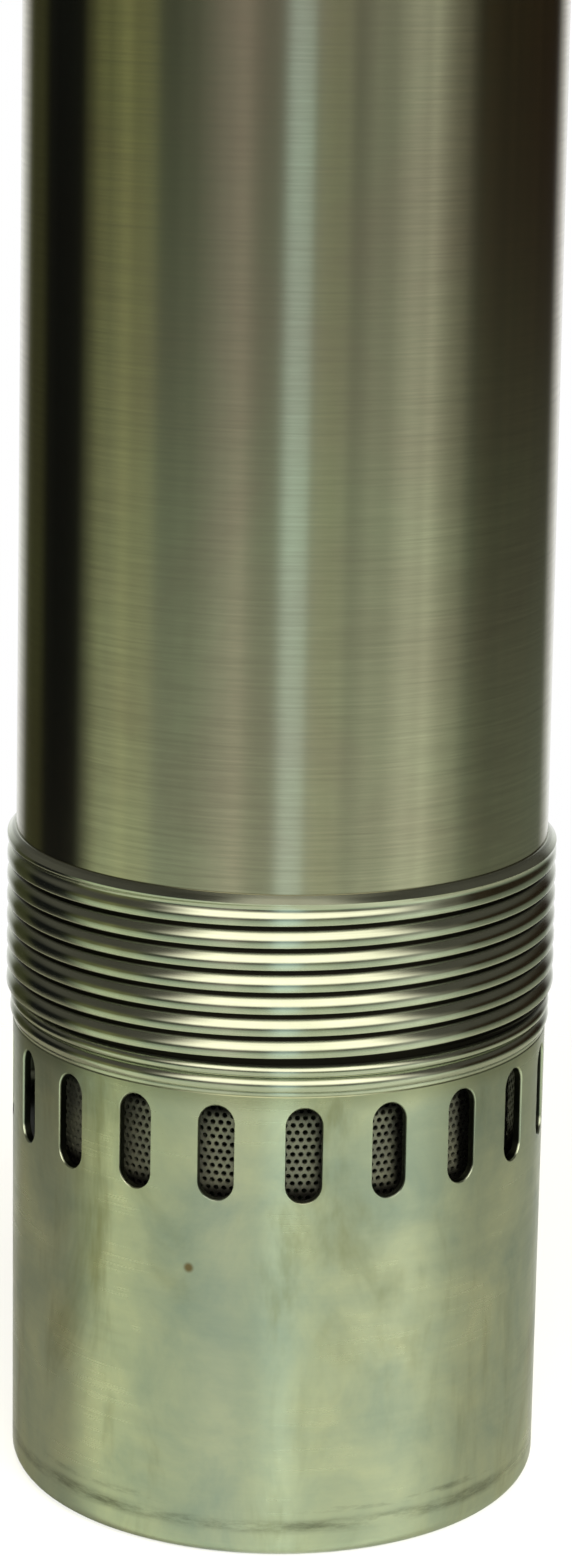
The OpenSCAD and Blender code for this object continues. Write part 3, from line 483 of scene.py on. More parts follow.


# %% [markdown]
# ## Painted shadow on the sieve and dark thread roots
# A painted shadow darkens the sieve behind each slot's right edge, at its foot and at its top. The angle
# round the axis, wrapped to one slot's share, finds that edge on all slots at once. The thread's roots and
# the relief groove, which again lie deeper than the rest, are darkened nearly to black.

# %% Painted sieve shadow and dark thread roots
def painted_slot_shadows(tree, place, colour, rough):
    parts = add(tree, "ShaderNodeSeparateXYZ", links={"Vector": place.outputs["Object"]})
    front = add(tree, "ShaderNodeMath", MULTIPLY, {1: -1.0}, {0: parts.outputs["Y"]})
    angle = add(tree, "ShaderNodeMath", ARCTAN2, links={0: parts.outputs["X"], 1: front})
    from_first = add(tree, "ShaderNodeMath", SUBTRACT, {1: math.radians(SLOT_TURN)}, {0: angle})
    half_step = math.pi / SLOT_COUNT
    from_slot = add(tree, "ShaderNodeMath", {"operation": "WRAP"}, {1: half_step, 2: -half_step},
                    {0: from_first})
    # painted shadow: the sieve is darkened beside each slot's right edge, at its foot and at its top
    beside = add(tree, "ShaderNodeMapRange", SMOOTH, {"From Min": 0.042, "From Max": 0.082},
                 {"Value": from_slot})
    foot = add(tree, "ShaderNodeMapRange", SMOOTH,
               {"From Min": 0.0848, "From Max": 0.0880, "To Min": 1.0, "To Max": 0.0},
               {"Value": parts.outputs["Z"]})
    top = add(tree, "ShaderNodeMapRange", SMOOTH, {"From Min": 0.1020, "From Max": 0.1045},
              {"Value": parts.outputs["Z"]})
    ends = add(tree, "ShaderNodeMath", MOST, links={0: foot, 1: top})
    slot_shadow_mask = add(tree, "ShaderNodeMath", MOST, links={0: ends, 1: beside})
    shadowed_sieve = add(tree, "ShaderNodeMixRGB", values={"Color2": linear("#141410")},
                 links={"Fac": slot_shadow_mask, "Color1": colour})
    duller = add(tree, "ShaderNodeMath", MULTIPLY_ADD, {1: 0.3}, {0: slot_shadow_mask, 2: rough})
    return shadowed_sieve, duller


def dark_thread_roots(tree, place, colour, rough):
    radius, height = from_axis(tree, place)
    # the thread's roots and the relief groove, deeper than the crests, are darkened nearly to black
    deep = add(tree, "ShaderNodeMapRange", SMOOTH,
               {"From Min": 0.0642, "From Max": 0.0648, "To Min": 1.0, "To Max": 0.0}, {"Value": radius})
    above = add(tree, "ShaderNodeMapRange", values={"From Min": 0.1166, "From Max": 0.1172},
                links={"Value": height})
    below = add(tree, "ShaderNodeMapRange",
                values={"From Min": 0.1520, "From Max": 0.1542, "To Min": 1.0, "To Max": 0.25},
                links={"Value": height})
    inside = add(tree, "ShaderNodeMath", MULTIPLY, links={0: above, 1: below})
    root_darkening = add(tree, "ShaderNodeMath", MULTIPLY, links={0: inside, 1: deep})
    darkened_roots = add(tree, "ShaderNodeMixRGB", values={"Color2": linear("#1d1c17")},
                  links={"Fac": root_darkening, "Color1": colour})
    duller = add(tree, "ShaderNodeMath", MULTIPLY_ADD, {1: 0.3}, {0: root_darkening, 2: rough})
    return darkened_roots, duller


# the angle is the share over which the painted slot shadows on the sieve repeat
print("slots share the silt's angle:", round(360 / SLOT_COUNT, 1), "degrees each")

# %% [markdown]
# ## The six steels
# Each finish starts from how the real face was made. Real brushing lines are about 0.1 mm apart, too
# fine for the render, so all tool marks are drawn as coarse as they need to show.

# %% The six steels
# brushed tube: hairlines round it draw each reflection out into a long upright band
brushed_jacket = steel(
    "brushed_stainless_jacket", "#b6b89f", "#a79f8e", rough=0.18, mark_mm=0.8, mark_depth=0.006,
    blotch_mm=70.0, streaks=0.12, aniso=0.75, mark_length=30.0)
# satin cup: soft, pale reflections with cloudy patches, scuffs and runs, and painted shade in its slots and
# under the collar's bead
satin_sleeve = steel(
    "satin_stainless_sleeve", "#cbd1b6", "#a5b4a8", rough=0.31, mark_mm=0.9, mark_depth=0.0005,
    blotch_mm=26.0, streaks=0.01, aniso=0.55, stain_and_shade=sleeve_wear_and_shade)
# cast and blasted head: dull, even and a little grainy
satin_head = steel(
    "satin_cast_stainless", "#bcc1a8", "#a3a890", rough=0.42, mark_mm=1.2, mark_depth=0.02,
    blotch_mm=18.0)
# turned collar: bright crests with sharp cream lines between black roots
turned_collar = steel(
    "turned_stainless_collar", "#c6ccba", "#b0b6a4", rough=0.17, mark_mm=0.3, mark_depth=0.004,
    blotch_mm=40.0, streaks=0.05, aniso=0.45, stain_and_shade=dark_thread_roots)
# perforated sheet: gone dull in the water, so it scatters part of the light, with painted shadow at the
# slots' edges
sieve_finish = steel(
    "perforated_stainless_sheet", "#8f9280", "#70736a", rough=0.45, mark_mm=1.0, mark_depth=0.005,
    blotch_mm=9.0, stain_and_shade=painted_slot_shadows, metal=0.6)
# ground shaft, rings and screws: clean and nearly colourless
ground_steel = steel(
    "ground_steel", "#c4c4bd", "#aeaea6", rough=0.24, mark_mm=0.4, mark_depth=0.005, blotch_mm=30.0)
print("steels:", [m.name for m in bpy.data.materials if "stainless" in m.name])


# %% [markdown]
# ## Other materials
# Inside there are a few more: moulded plastic stages, brass, rubber rings, painted castings, stacked
# sheet and varnished copper. They share one function with a fine grain and a slow change of tone,
# because none of them has a direction in its surface.

# %% One function for grainy materials
# slow changes of tone, about 22 mm across
CLOUDS_PER_METRE = 45.0


def plain(name, pale, dark, rough, grain_mm, grain_depth, metallic=0.0, coat=0.0):
    material, tree = blank_material(name)
    place = add(tree, "ShaderNodeTexCoord")
    grain = add(tree, "ShaderNodeTexNoise", values={"Scale": 1000.0 / grain_mm, "Detail": 3.0},
                links={"Vector": place.outputs["Object"]})
    cloud = add(tree, "ShaderNodeTexNoise", values={"Scale": CLOUDS_PER_METRE, "Detail": 4.0},
                links={"Vector": place.outputs["Object"]})
    tone = add(tree, "ShaderNodeValToRGB", links={"Fac": cloud.outputs["Fac"]},
               stops=[(NOISE_LOW, dark), (NOISE_HIGH, pale)])
    roughness = add(tree, "ShaderNodeMapRange", values={
        "From Min": NOISE_LOW, "From Max": NOISE_HIGH, "To Min": rough * 0.85, "To Max": rough * 1.15},
        links={"Value": grain.outputs["Fac"]})
    bump = add(tree, "ShaderNodeBump", values={"Strength": 0.4, "Distance": grain_depth * MM},
               links={"Height": grain.outputs["Fac"]})
    shader = add(tree, "ShaderNodeBsdfPrincipled", values={"Metallic": metallic, "Coat Weight": coat},
                 links={"Base Color": tone.outputs["Color"], "Roughness": roughness, "Normal": bump})
    add(tree, "ShaderNodeOutputMaterial", links={"Surface": shader})
    print("material:", name)
    return material


# %% [markdown]
# ## Rubber, brass, castings, copper, plastic and seal faces
# The numbers are typical for each material: rubber is dark and rough, brass is yellow and bright, and
# the lapped faces of a seal are the smoothest things in the pump.

# %% Materials inside the pump
# moulded rubber: nearly black, with a soft grey sheen
black_rubber = plain(
    "moulded_epdm_rubber", "#262624", "#1b1b1a", rough=0.62, grain_mm=0.6, grain_depth=0.02)
# turned brass: warm yellow and bright
turned_brass = plain(
    "turned_brass", "#c9a65a", "#b08c45", rough=0.28, grain_mm=0.5, grain_depth=0.005, metallic=1.0)
# painted sand casting: a coarse skin under half-gloss grey
painted_casting = plain(
    "painted_grey_casting", "#6d716e", "#5b5f5d", rough=0.5, grain_mm=1.4, grain_depth=0.08)
# stacked sheets: dark grey metal with a fine edge grain
sheet_stack = plain(
    "stacked_silicon_steel", "#6a6c6e", "#55585a", rough=0.45, grain_mm=0.5, grain_depth=0.03, metallic=1.0)
# varnished wire: orange copper under a clear coat
copper_wire = plain(
    "varnished_copper_wire", "#b4703c", "#99582b", rough=0.35, grain_mm=0.9, grain_depth=0.15,
    metallic=1.0, coat=0.6)
# moulded stages: ivory plastic with a dull shine
stage_plastic = plain(
    "moulded_stage_plastic", "#d5cfb8", "#c6bfa6", rough=0.45, grain_mm=0.8, grain_depth=0.02)
# moulded can of the capacitor: clean white with a clear shine
capacitor_plastic = plain(
    "moulded_white_plastic", "#e2e2dc", "#d4d4cc", rough=0.3, grain_mm=0.8, grain_depth=0.01)
# lapped ceramic: cream white, close to a mirror
seal_ceramic = plain(
    "lapped_ceramic", "#ece8dc", "#e0dccf", rough=0.2, grain_mm=0.4, grain_depth=0.002)
# pressed carbon: black with a graphite shine
seal_carbon = plain(
    "pressed_carbon", "#343437", "#29292b", rough=0.4, grain_mm=0.4, grain_depth=0.01)
print("materials:", len(bpy.data.materials))


# %% [markdown]
# ## Turned pieces
# Most of this pump is turned, so its pieces start as an outline that is spun once round the axis. The
# outline is half of the cross-section, as a lathe hand would draw it. If the outline also rises while
# it turns, the same step cuts a thread.

# %% Spin an outline and finish a piece
# double corners at the seam of a spin lie closer than this, in metres
SEAM = 1e-5


def arc(centre_r, centre_z, radius, first, last, count):
    angles = [math.radians(first + (last - first) * i / count) for i in range(count + 1)]
    return [(centre_r + radius * math.cos(a), centre_z + radius * math.sin(a)) for a in angles]


def spin_outline(outline, steps, rise=0.0, closed=True):
    shape = bmesh.new()
    corners = [shape.verts.new((r * MM, 0.0, z * MM)) for r, z in outline]
    pairs = list(zip(corners, corners[1:])) + ([(corners[-1], corners[0])] if closed else [])
    sides = [shape.edges.new(pair) for pair in pairs]
    bmesh.ops.spin(shape, geom=corners + sides, cent=(0, 0, 0), axis=(0, 0, 1),
                   dvec=(0, 0, rise * MM / steps), angle=math.tau, steps=steps, use_merge=rise == 0.0)
    bmesh.ops.remove_doubles(shape, verts=shape.verts, dist=SEAM)
    bmesh.ops.recalc_face_normals(shape, faces=shape.faces)
    return shape


def finish_piece(name, shape, material, sharp=32.0):
    mesh = bpy.data.meshes.new(name)
    shape.to_mesh(mesh)
    shape.free()
    mesh.shade_smooth()
    mesh.set_sharp_from_angle(angle=math.radians(sharp))
    mesh.materials.append(material)
    piece = bpy.data.objects.new(name, mesh)
    bpy.context.collection.objects.link(piece)
    print(name, len(mesh.polygons), "faces")
    return piece


print("helpers: arc, spin_outline, finish_piece")

# %% [markdown]
# ## Jacket
# The jacket is a welded and brushed tube. Its rims were broken with a file, so each has a small round.
# Two cylinders and a bevel could make it, but one spun outline takes the wall, the rims and the rings
# along its length at once. The rings keep the faces from growing too long and thin.

# %% Jacket
BROKEN_EDGE, TOP_ROUND, INNER_EDGE, JACKET_RINGS = 0.4, 0.5, 0.3, 24
plain_length = JACKET_Z1 - JACKET_Z0 - 2 * BROKEN_EDGE
jacket_outline = (
    [(JACKET_IN, JACKET_Z0 + BROKEN_EDGE), (JACKET_IN + BROKEN_EDGE, JACKET_Z0),
     (JACKET_R - BROKEN_EDGE, JACKET_Z0), (JACKET_R, JACKET_Z0 + BROKEN_EDGE)]
    + [(JACKET_R, JACKET_Z0 + BROKEN_EDGE + plain_length * i / JACKET_RINGS)
       for i in range(1, JACKET_RINGS)]
    + arc(JACKET_R - TOP_ROUND, JACKET_Z1 - TOP_ROUND, TOP_ROUND, first=0, last=90, count=4)
    + [(JACKET_IN + INNER_EDGE, JACKET_Z1), (JACKET_IN, JACKET_Z1 - INNER_EDGE)]
)
jacket = finish_piece("jacket_tube", spin_outline(jacket_outline, steps=256), brushed_jacket)
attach(jacket, "casing")
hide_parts("outer_jacket")


# %% [markdown]
# ## Threads
# A lathe cuts a thread by moving the tool one pitch along for each turn of the work. Spin can do the
# same: the outline of all ridges goes once round and rises by one pitch, so each ridge meets the next
# and the whole becomes one right-hand helix. Two planes then trim its ends. A trimmed thread is an open
# skin, so both cut rims are drawn to the back of the thread, and a plain wall there closes the ring.

# %% Trim a thread
def trim_thread(shape, low, high, back_r):
    for height, above in ((low, False), (high, True)):
        bmesh.ops.bisect_plane(
            shape, geom=shape.verts[:] + shape.edges[:] + shape.faces[:], dist=1e-7,
            plane_co=(0, 0, height * MM), plane_no=(0, 0, 1), clear_outer=above, clear_inner=not above)
    rims = [edge for edge in shape.edges if edge.is_boundary]
    lips = bmesh.ops.extrude_edge_only(shape, edges=rims)["geom"]
    for corner in [g for g in lips if isinstance(g, bmesh.types.BMVert)]:
        corner.co.xy = corner.co.xy.normalized() * (back_r * MM)
    bmesh.ops.bridge_loops(shape, edges=[edge for edge in shape.edges if edge.is_boundary])
    bmesh.ops.recalc_face_normals(shape, faces=shape.faces)
    open_edges = sum(edge.is_boundary for edge in shape.edges)
    print("thread ring:", len(shape.faces), "faces,", open_edges, "open edges")


# %% [markdown]
# ## Collar thread
# The collar's thread is coarse, with five turns to the inch. Each groove has a long round shoulder
# below its root and a short sharp flank above it. The tool was drawn out of the cut near the top, so
# the last groove dies out under the chamfer.

# %% Helical thread
ROOT_R = THREAD_R - 1.5
# one groove from below to above: radius, and height from the middle of its root
GROOVE = [
    (THREAD_R, -3.0), (THREAD_R - 0.03, -2.7), (THREAD_R - 0.12, -2.35), (THREAD_R - 0.3, -1.95),
    (THREAD_R - 0.55, -1.55), (THREAD_R - 0.85, -1.15), (THREAD_R - 1.15, -0.75), (ROOT_R, -0.45),
    (ROOT_R, 0.34), (THREAD_R - 0.8, 0.52), (THREAD_R - 0.22, 0.70), (THREAD_R - 0.05, 0.84),
    (THREAD_R, 1.05),
]
THREAD_Z0, THREAD_Z1, THREAD_BACK = 118.5, 154.8, 63.2
RUN_OUT_Z, RUN_OUT_H = 152.2, 2.6
# grooves below and above the one at GROOVE_Z, more than are left after the trim
LOWEST, HIGHEST = -8, 4
# the spin starts at the right, and the front comes three quarters of a turn later
start_z = GROOVE_Z - 0.75 * THREAD_PITCH
ridges = [(r, start_z + number * THREAD_PITCH + z) for number in range(LOWEST, HIGHEST) for r, z in GROOVE]
shape = spin_outline(ridges, steps=288, rise=THREAD_PITCH, closed=False)
for corner in shape.verts:
    lift = min(max((corner.co.z / MM - RUN_OUT_Z) / RUN_OUT_H, 0.0), 1.0)
    radius = corner.co.xy.length
    corner.co.xy *= (radius + (THREAD_R * MM - radius) * lift) / radius
trim_thread(shape, THREAD_Z0, THREAD_Z1, THREAD_BACK)
thread = finish_piece("collar_thread", shape, turned_collar, sharp=50.0)

# %% [markdown]
# ## Collar body
# Below the thread the collar has a relief groove, where the tool started, and two beads, a small one
# and a large one on the sleeve's rim. Above it a chamfer leads a nut on. They could be rings laid on
# each other, but one outline, spun behind the thread, leaves no seams between them.

# %% Collar body
BEAD_Z, BEAD_R = SLEEVE_H + 2.3, 2.0
SMALL_BEAD_Z, SMALL_BEAD_R = SLEEVE_H + 5.6, 1.5
BEAD_REACH, RELIEF_R, RELIEF_Z = SLEEVE_R + 0.65, SLEEVE_R - 0.6, 117.2
PLAY = 0.02
collar_outline = (
    [(COLLAR_IN, SLEEVE_H + PLAY), (SLEEVE_R - 0.05, SLEEVE_H + PLAY), (SLEEVE_R + 0.02, SLEEVE_H + 0.5)]
    + arc(BEAD_REACH - BEAD_R, BEAD_Z, BEAD_R, first=-48, last=66, count=14)
    + arc(BEAD_REACH - SMALL_BEAD_R, SMALL_BEAD_Z, SMALL_BEAD_R, first=-58, last=62, count=12)
    + [(RELIEF_R, RELIEF_Z), (RELIEF_R, THREAD_Z1 - 0.3), (THREAD_R - 0.25, THREAD_Z1 - 0.3),
       (THREAD_R, THREAD_Z1), (THREAD_R - 1.62, COLLAR_Z1 - 0.1), (THREAD_R - 1.75, COLLAR_Z1),
       (JACKET_R + PLAY, COLLAR_Z1), (JACKET_R + PLAY, JACKET_Z0), (COLLAR_IN, JACKET_Z0)]
)
collar = finish_piece("collar_body", spin_outline(collar_outline, steps=256), turned_collar, sharp=40.0)
for piece in (thread, collar):
    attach(piece, "casing")
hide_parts("threaded_collar")

# %% [markdown]
# ## Suction sleeve
# The sleeve is a drawn cup with a rounded foot, a neck that goes up into the collar and a ledge inside
# for the sieve. A cylinder has only long faces, which shade badly beside a cut, so the cup is spun with
# many rings, and the slots are cut from small, even faces.

# %% Cup
FOOT_R, RINGS = 3.5, 36
SKIN_TOP = SLEEVE_H - 0.35
NECK_R, NECK_IN, NECK_TOP, SHELF_Z = 59.95, 57.45, 124.0, 107.6
BAND_R, CUP_IN, CUP_FLOOR = 62.0, 60.0, 3.0
cup_outline = (
    [(0.0, 0.0), (30.0, 0.0)]
    + arc(BASE_R - FOOT_R, FOOT_R, FOOT_R, first=-90, last=0, count=8)
    + [(BASE_R + (SLEEVE_R - BASE_R) * t / RINGS, FOOT_R + (SKIN_TOP - FOOT_R) * t / RINGS)
       for t in range(1, RINGS + 1)]
    + [(SLEEVE_R - 0.3, SLEEVE_H), (NECK_R, SLEEVE_H), (NECK_R, NECK_TOP), (NECK_IN, NECK_TOP),
       (NECK_IN, SHELF_Z), (BAND_R, SHELF_Z), (BAND_R, 83.0), (58.7, 83.0), (58.7, 80.0), (57.5, 80.0),
       (57.5, 77.0), (CUP_IN, 74.5), (CUP_IN, CUP_FLOOR), (0.0, CUP_FLOOR)]
)
sleeve = finish_piece("sleeve_cup", spin_outline(cup_outline, steps=360), satin_sleeve)


# %% [markdown]
# ## Rings, turns and copies
# Slots, sieve holes, eyes, nuts and screws all start from a ring of points, and many of them are made
# lying flat, turned into place and copied round the axis. Three small helpers take that up. Spin
# without joining makes the copies, so each of them is turned by exactly one step.

# %% Rings, turns and copies
def ring_loop(shape, sides, radius, turned=Matrix()):
    corners = bmesh.ops.create_circle(
        shape, cap_ends=False, segments=sides, radius=radius, matrix=turned)["verts"]
    return corners, list({edge for corner in corners for edge in corner.link_edges})


def turn_shape(shape, degrees, axis):
    bmesh.ops.rotate(shape, verts=shape.verts, cent=(0, 0, 0),
                     matrix=Matrix.Rotation(math.radians(degrees), 3, axis))


def copy_round(shape, count):
    bmesh.ops.spin(shape, geom=shape.verts[:] + shape.edges[:] + shape.faces[:], cent=(0, 0, 0),
                   axis=(0, 0, 1), angle=math.tau / count * (count - 1), steps=count - 1,
                   use_duplicate=True)
    print("copies:", count)


# %% [markdown]
# ## Slot punches
# The slots were punched and then deburred, so each mouth flares a little. A punch is a stack of loops:
# circles pulled apart into long holes, wider where they pass the skin. One punch is made lying down,
# stood upright at the front, and copied round the axis.

# %% Slot punches
# distance of each loop from the axis, and how much wider than the slot it is
FLARE = ((59.0, 0.0), (63.2, 0.0), (63.55, 0.05), (63.8, 0.2), (63.98, 0.45), (66.0, 0.75))
PUNCH_SIDES = 40
half_side = Matrix.Rotation(math.pi / PUNCH_SIDES, 4, "Z")
punches = bmesh.new()
loops = []
for depth, widen in FLARE:
    ring, edges = ring_loop(punches, PUNCH_SIDES, (SLOT_W / 2 + widen) * MM, half_side)
    for corner in ring:
        corner.co.y += math.copysign((SLOT_LEN - SLOT_W) / 2, corner.co.y) * MM
        corner.co.z = depth * MM
    loops.append(edges)
for inner, outer in zip(loops, loops[1:]):
    bmesh.ops.bridge_loops(punches, edges=inner + outer)
bmesh.ops.holes_fill(punches, edges=loops[0] + loops[-1], sides=0)
bmesh.ops.recalc_face_normals(punches, faces=punches.faces)
turn_shape(punches, 90, "X")
bmesh.ops.translate(punches, verts=punches.verts, vec=(0, 0, (SLOT_Z0 + SLOT_LEN / 2) * MM))
turn_shape(punches, SLOT_TURN, "Z")
copy_round(punches, SLOT_COUNT)
cutter = finish_piece("slot_punches", punches, satin_sleeve)

# %% [markdown]
# ## Punching
# The holes could be laid into the cup's grid by hand, but a Boolean takes all punches out of it at once
# and keeps their flare. Its result is kept as a plain mesh and the punches are removed, so that nothing
# depends on them later.

# %% Punch the slots
punching = sleeve.modifiers.new("punching", "BOOLEAN")
punching.operation, punching.solver, punching.object = "DIFFERENCE", "EXACT", cutter
punched = bpy.data.meshes.new_from_object(sleeve.evaluated_get(bpy.context.evaluated_depsgraph_get()))
sleeve.modifiers.clear()
sleeve.data = punched
bpy.data.objects.remove(cutter)
punched.shade_smooth()
punched.set_sharp_from_angle(angle=math.radians(32))
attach(sleeve, "casing")
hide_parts("suction_sleeve")
print("punched sleeve:", len(punched.polygons), "faces")

# %% [markdown]
# ## Strainer screen
# The sieve is perforated sheet rolled into a ring: round holes in staggered rows. Dots in a material
# would look flat through the slots, and thousands of Booleans would be slow, so one small tile with an
# eight-sided hole is copied into rows on the flat, as the sheet was before it was rolled.

# %% Perforated sheet
SCREEN_R, SCREEN_Z0, SCREEN_Z1, SCREEN_T = 58.5, 80.0, 107.4, 0.8
COLUMNS, ROWS, HOLE_R, HOLE_SIDES = 200, 16, 0.64, 8
tile_w, row_pitch = math.tau / COLUMNS * SCREEN_R, (SCREEN_Z1 - SCREEN_Z0) / ROWS
sheet = bmesh.new()
hole_edges = ring_loop(sheet, HOLE_SIDES, HOLE_R)[1]
border, border_edges = ring_loop(sheet, HOLE_SIDES, 1.0)
# rounding pulls the outer ring, of radius 1, to the corners and the middles of a rectangle
for corner in border:
    corner.co.x = round(corner.co.x) * tile_w / 2
    corner.co.y = round(corner.co.y) * row_pitch / 2
bmesh.ops.bridge_loops(sheet, edges=hole_edges + border_edges)
tile = sheet.verts[:] + sheet.edges[:] + sheet.faces[:]
for row in range(ROWS):
    shift, height = (tile_w / 2 if row % 2 else 0.0), (row + 0.5) * row_pitch + SCREEN_Z0
    for column in range(COLUMNS):
        copy = bmesh.ops.duplicate(sheet, geom=tile)["geom"]
        bmesh.ops.translate(sheet, verts=[g for g in copy if isinstance(g, bmesh.types.BMVert)],
                            vec=(column * tile_w + shift, height, 0))
bmesh.ops.delete(sheet, geom=tile, context="VERTS")
print("flat sheet:", COLUMNS * ROWS, "holes")

# %% [markdown]
# ## Rolling the sheet
# Each corner's place along the flat sheet becomes an angle on the roll. A modifier could bend it, but
# the sum is short and exact. Neighbouring tiles share their corners, so the doubles are merged before
# solidify gives the sheet its thickness.

# %% Roll the sheet
TILE_SEAM = 2e-5
for corner in sheet.verts:
    angle = corner.co.x / SCREEN_R
    corner.co = Vector((SCREEN_R * math.sin(angle), -SCREEN_R * math.cos(angle), corner.co.y)) * MM
bmesh.ops.remove_doubles(sheet, verts=sheet.verts, dist=TILE_SEAM)
bmesh.ops.recalc_face_normals(sheet, faces=sheet.faces)
bmesh.ops.solidify(sheet, geom=sheet.faces[:], thickness=SCREEN_T * MM)
screen = finish_piece("sieve_sheet", sheet, sieve_finish, sharp=40.0)
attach(screen, "casing")
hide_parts("strainer_screen")


# %% [markdown]
# ## Soft edges of a casting
# Castings have soft edges, so every corner of the head's outline is eased by a small curve before it is
# spun. A bevel could do it, but here each corner has its own size, which is quicker to write beside it.

# %% Ease the corners of an outline
def eased(corners, count=5):
    points = []
    for i, (r, z, ease) in enumerate(corners):
        here = Vector((r, z))
        if ease == 0.0:
            points.append((r, z))
            continue
        before, after = Vector(corners[i - 1][:2]), Vector(corners[(i + 1) % len(corners)][:2])
        first, last = here + (before - here).normalized() * ease, here + (after - here).normalized() * ease
        for step in range(count + 1):
            t = step / count
            points.append(tuple(first * (1 - t) ** 2 + here * 2 * t * (1 - t) + last * t ** 2))
    return points


print("one eased corner has", len(eased([(0, 0, 0.0), (1, 0, 0.2), (1, 1, 0.0)])) - 2, "points")

# %% [markdown]
# ## Delivery head
# The head is a casting with a machined outlet and a skirt inside the jacket. Its outline goes up the
# outside, over the neck and down the outlet, and back under the dome. Each corner has its radius, its
# height and how far it is eased. Casting the whole head as one mesh would need Booleans for the lugs
# and the boss, so they are pieces of their own that grow out of it.

# %% Head body
OUTLET_R, OUTLET_ROOT, HEAD_TOP = 19.5, 20.7, 860.0
head_outline = [
    (54.0, 772.0, 0.0), (61.4, 772.0, 0.8), (61.4, 800.0, 0.0), (64.0, 800.0, 0.4), (64.0, 806.0, 2.0),
    (61.0, 811.0, 3.0), (35.0, 824.0, 5.0), (29.0, 830.0, 4.0), (29.0, HEAD_TOP, 1.5),
    (21.4, HEAD_TOP, 0.3), (OUTLET_ROOT, 859.2, 0.3), (OUTLET_ROOT, 837.6, 0.3), (OUTLET_R, 836.0, 0.5),
    (24.0, 832.0, 0.6), (24.0, 812.0, 0.0), (26.5, 812.0, 0.0), (26.5, 804.0, 0.0), (31.0, 804.0, 0.0),
    (31.0, 813.0, 2.0), (36.0, 813.0, 2.0), (54.0, 802.0, 3.0),
]
head_body = finish_piece("head_body", spin_outline(eased(head_outline), steps=192), satin_head, sharp=38.0)
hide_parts("delivery_head")

# %% [markdown]
# ## Outlet thread
# The riser pipe screws in with a pipe thread of eleven turns to the inch. It is made as the collar's
# thread was, only its ridges point inwards.

# %% Outlet thread
PIPE_PITCH = 25.4 / 11
PIPE_START, PIPE_TURNS, PIPE_Z0, PIPE_Z1, PIPE_BACK = 834.0, 12, 838.0, 858.8, 21.2
TOOTH = [(OUTLET_ROOT, 0.0), (20.45, 0.22), (19.75, 0.82), (19.55, 1.02),
         (OUTLET_R, 1.15), (19.55, 1.28), (19.75, 1.48), (20.45, 2.08)]
teeth = [(r, PIPE_START + number * PIPE_PITCH + z) for number in range(PIPE_TURNS) for r, z in TOOTH]
shape = spin_outline(teeth, steps=96, rise=PIPE_PITCH, closed=False)
trim_thread(shape, PIPE_Z0, PIPE_Z1, PIPE_BACK)
outlet_thread = finish_piece("outlet_thread", shape, turned_collar, sharp=50.0)


# %% [markdown]
# ## Rope lugs
# A rope or shackle goes through each eye. The plate is drawn round the eye: a ring of points stays on a
# circle at the free corner and is pushed out to straight sides elsewhere, where the plate meets the
# head. Solidify makes it a plate, and a bevel rounds its rims so that they don't cut the rope.

# %% Rope lugs
EYE_R, LUG_R, LUG_T, LUG_X, LUG_Z, LUG_SIDES = 6.0, 12.0, 8.0, 46.0, 834.0, 48
# how far the plate reaches from the eye, inwards to the neck and down to the dome
LUG_IN, LUG_DOWN, LUG_ROUND = 19.0, 26.0, 1.1
# rims are the edges that turn by more than this, in radians; TINY keeps a divisor from zero
RIM_TURN, TINY = 1.2, 1e-6


def rope_lug(name, turned):
    plate = bmesh.new()
    eye_edges = ring_loop(plate, LUG_SIDES, EYE_R)[1]
    rim, rim_edges = ring_loop(plate, LUG_SIDES, LUG_R)
    for corner in rim:
        across, up = corner.co.x / LUG_R, corner.co.y / LUG_R
        if across < -TINY or up < -TINY:
            reach_x = (LUG_R if across > 0 else LUG_IN) / max(abs(across), TINY)
            reach_y = (LUG_R if up > 0 else LUG_DOWN) / max(abs(up), TINY)
            corner.co *= min(reach_x, reach_y) / LUG_R
    bmesh.ops.bridge_loops(plate, edges=eye_edges + rim_edges)
    bmesh.ops.recalc_face_normals(plate, faces=plate.faces)
    bmesh.ops.solidify(plate, geom=plate.faces[:], thickness=LUG_T)
    bmesh.ops.recalc_face_normals(plate, faces=plate.faces)
    middle = sum(v.co.z for v in plate.verts) / len(plate.verts)
    bmesh.ops.translate(plate, verts=plate.verts, vec=(0, 0, -middle))
    rims = [e for e in plate.edges if e.calc_face_angle(0.0) > RIM_TURN]
    bmesh.ops.bevel(plate, geom=rims, offset=LUG_ROUND, offset_type="OFFSET", segments=3, profile=0.5,
                    affect="EDGES", material=-1, clamp_overlap=True)
    turn_shape(plate, 90, "X")
    bmesh.ops.translate(plate, verts=plate.verts, vec=(LUG_X, 0, LUG_Z))
    turn_shape(plate, turned, "Z")
    bmesh.ops.scale(plate, verts=plate.verts, vec=(MM, MM, MM))
    return finish_piece(name, plate, satin_head, sharp=38.0)


lug_right, lug_left = rope_lug("lug_right", 0.0), rope_lug("lug_left", 180.0)


# %% [markdown]
# ## Lofted pieces
# A nut and a screw are round in some places and six-sided in others, so they can't be spun. They are
# lofted: rings of points, round or six-sided, are stacked and bridged one to the next. Each ring is
# given as its radius, its height and its number of sides, where 0 is round.

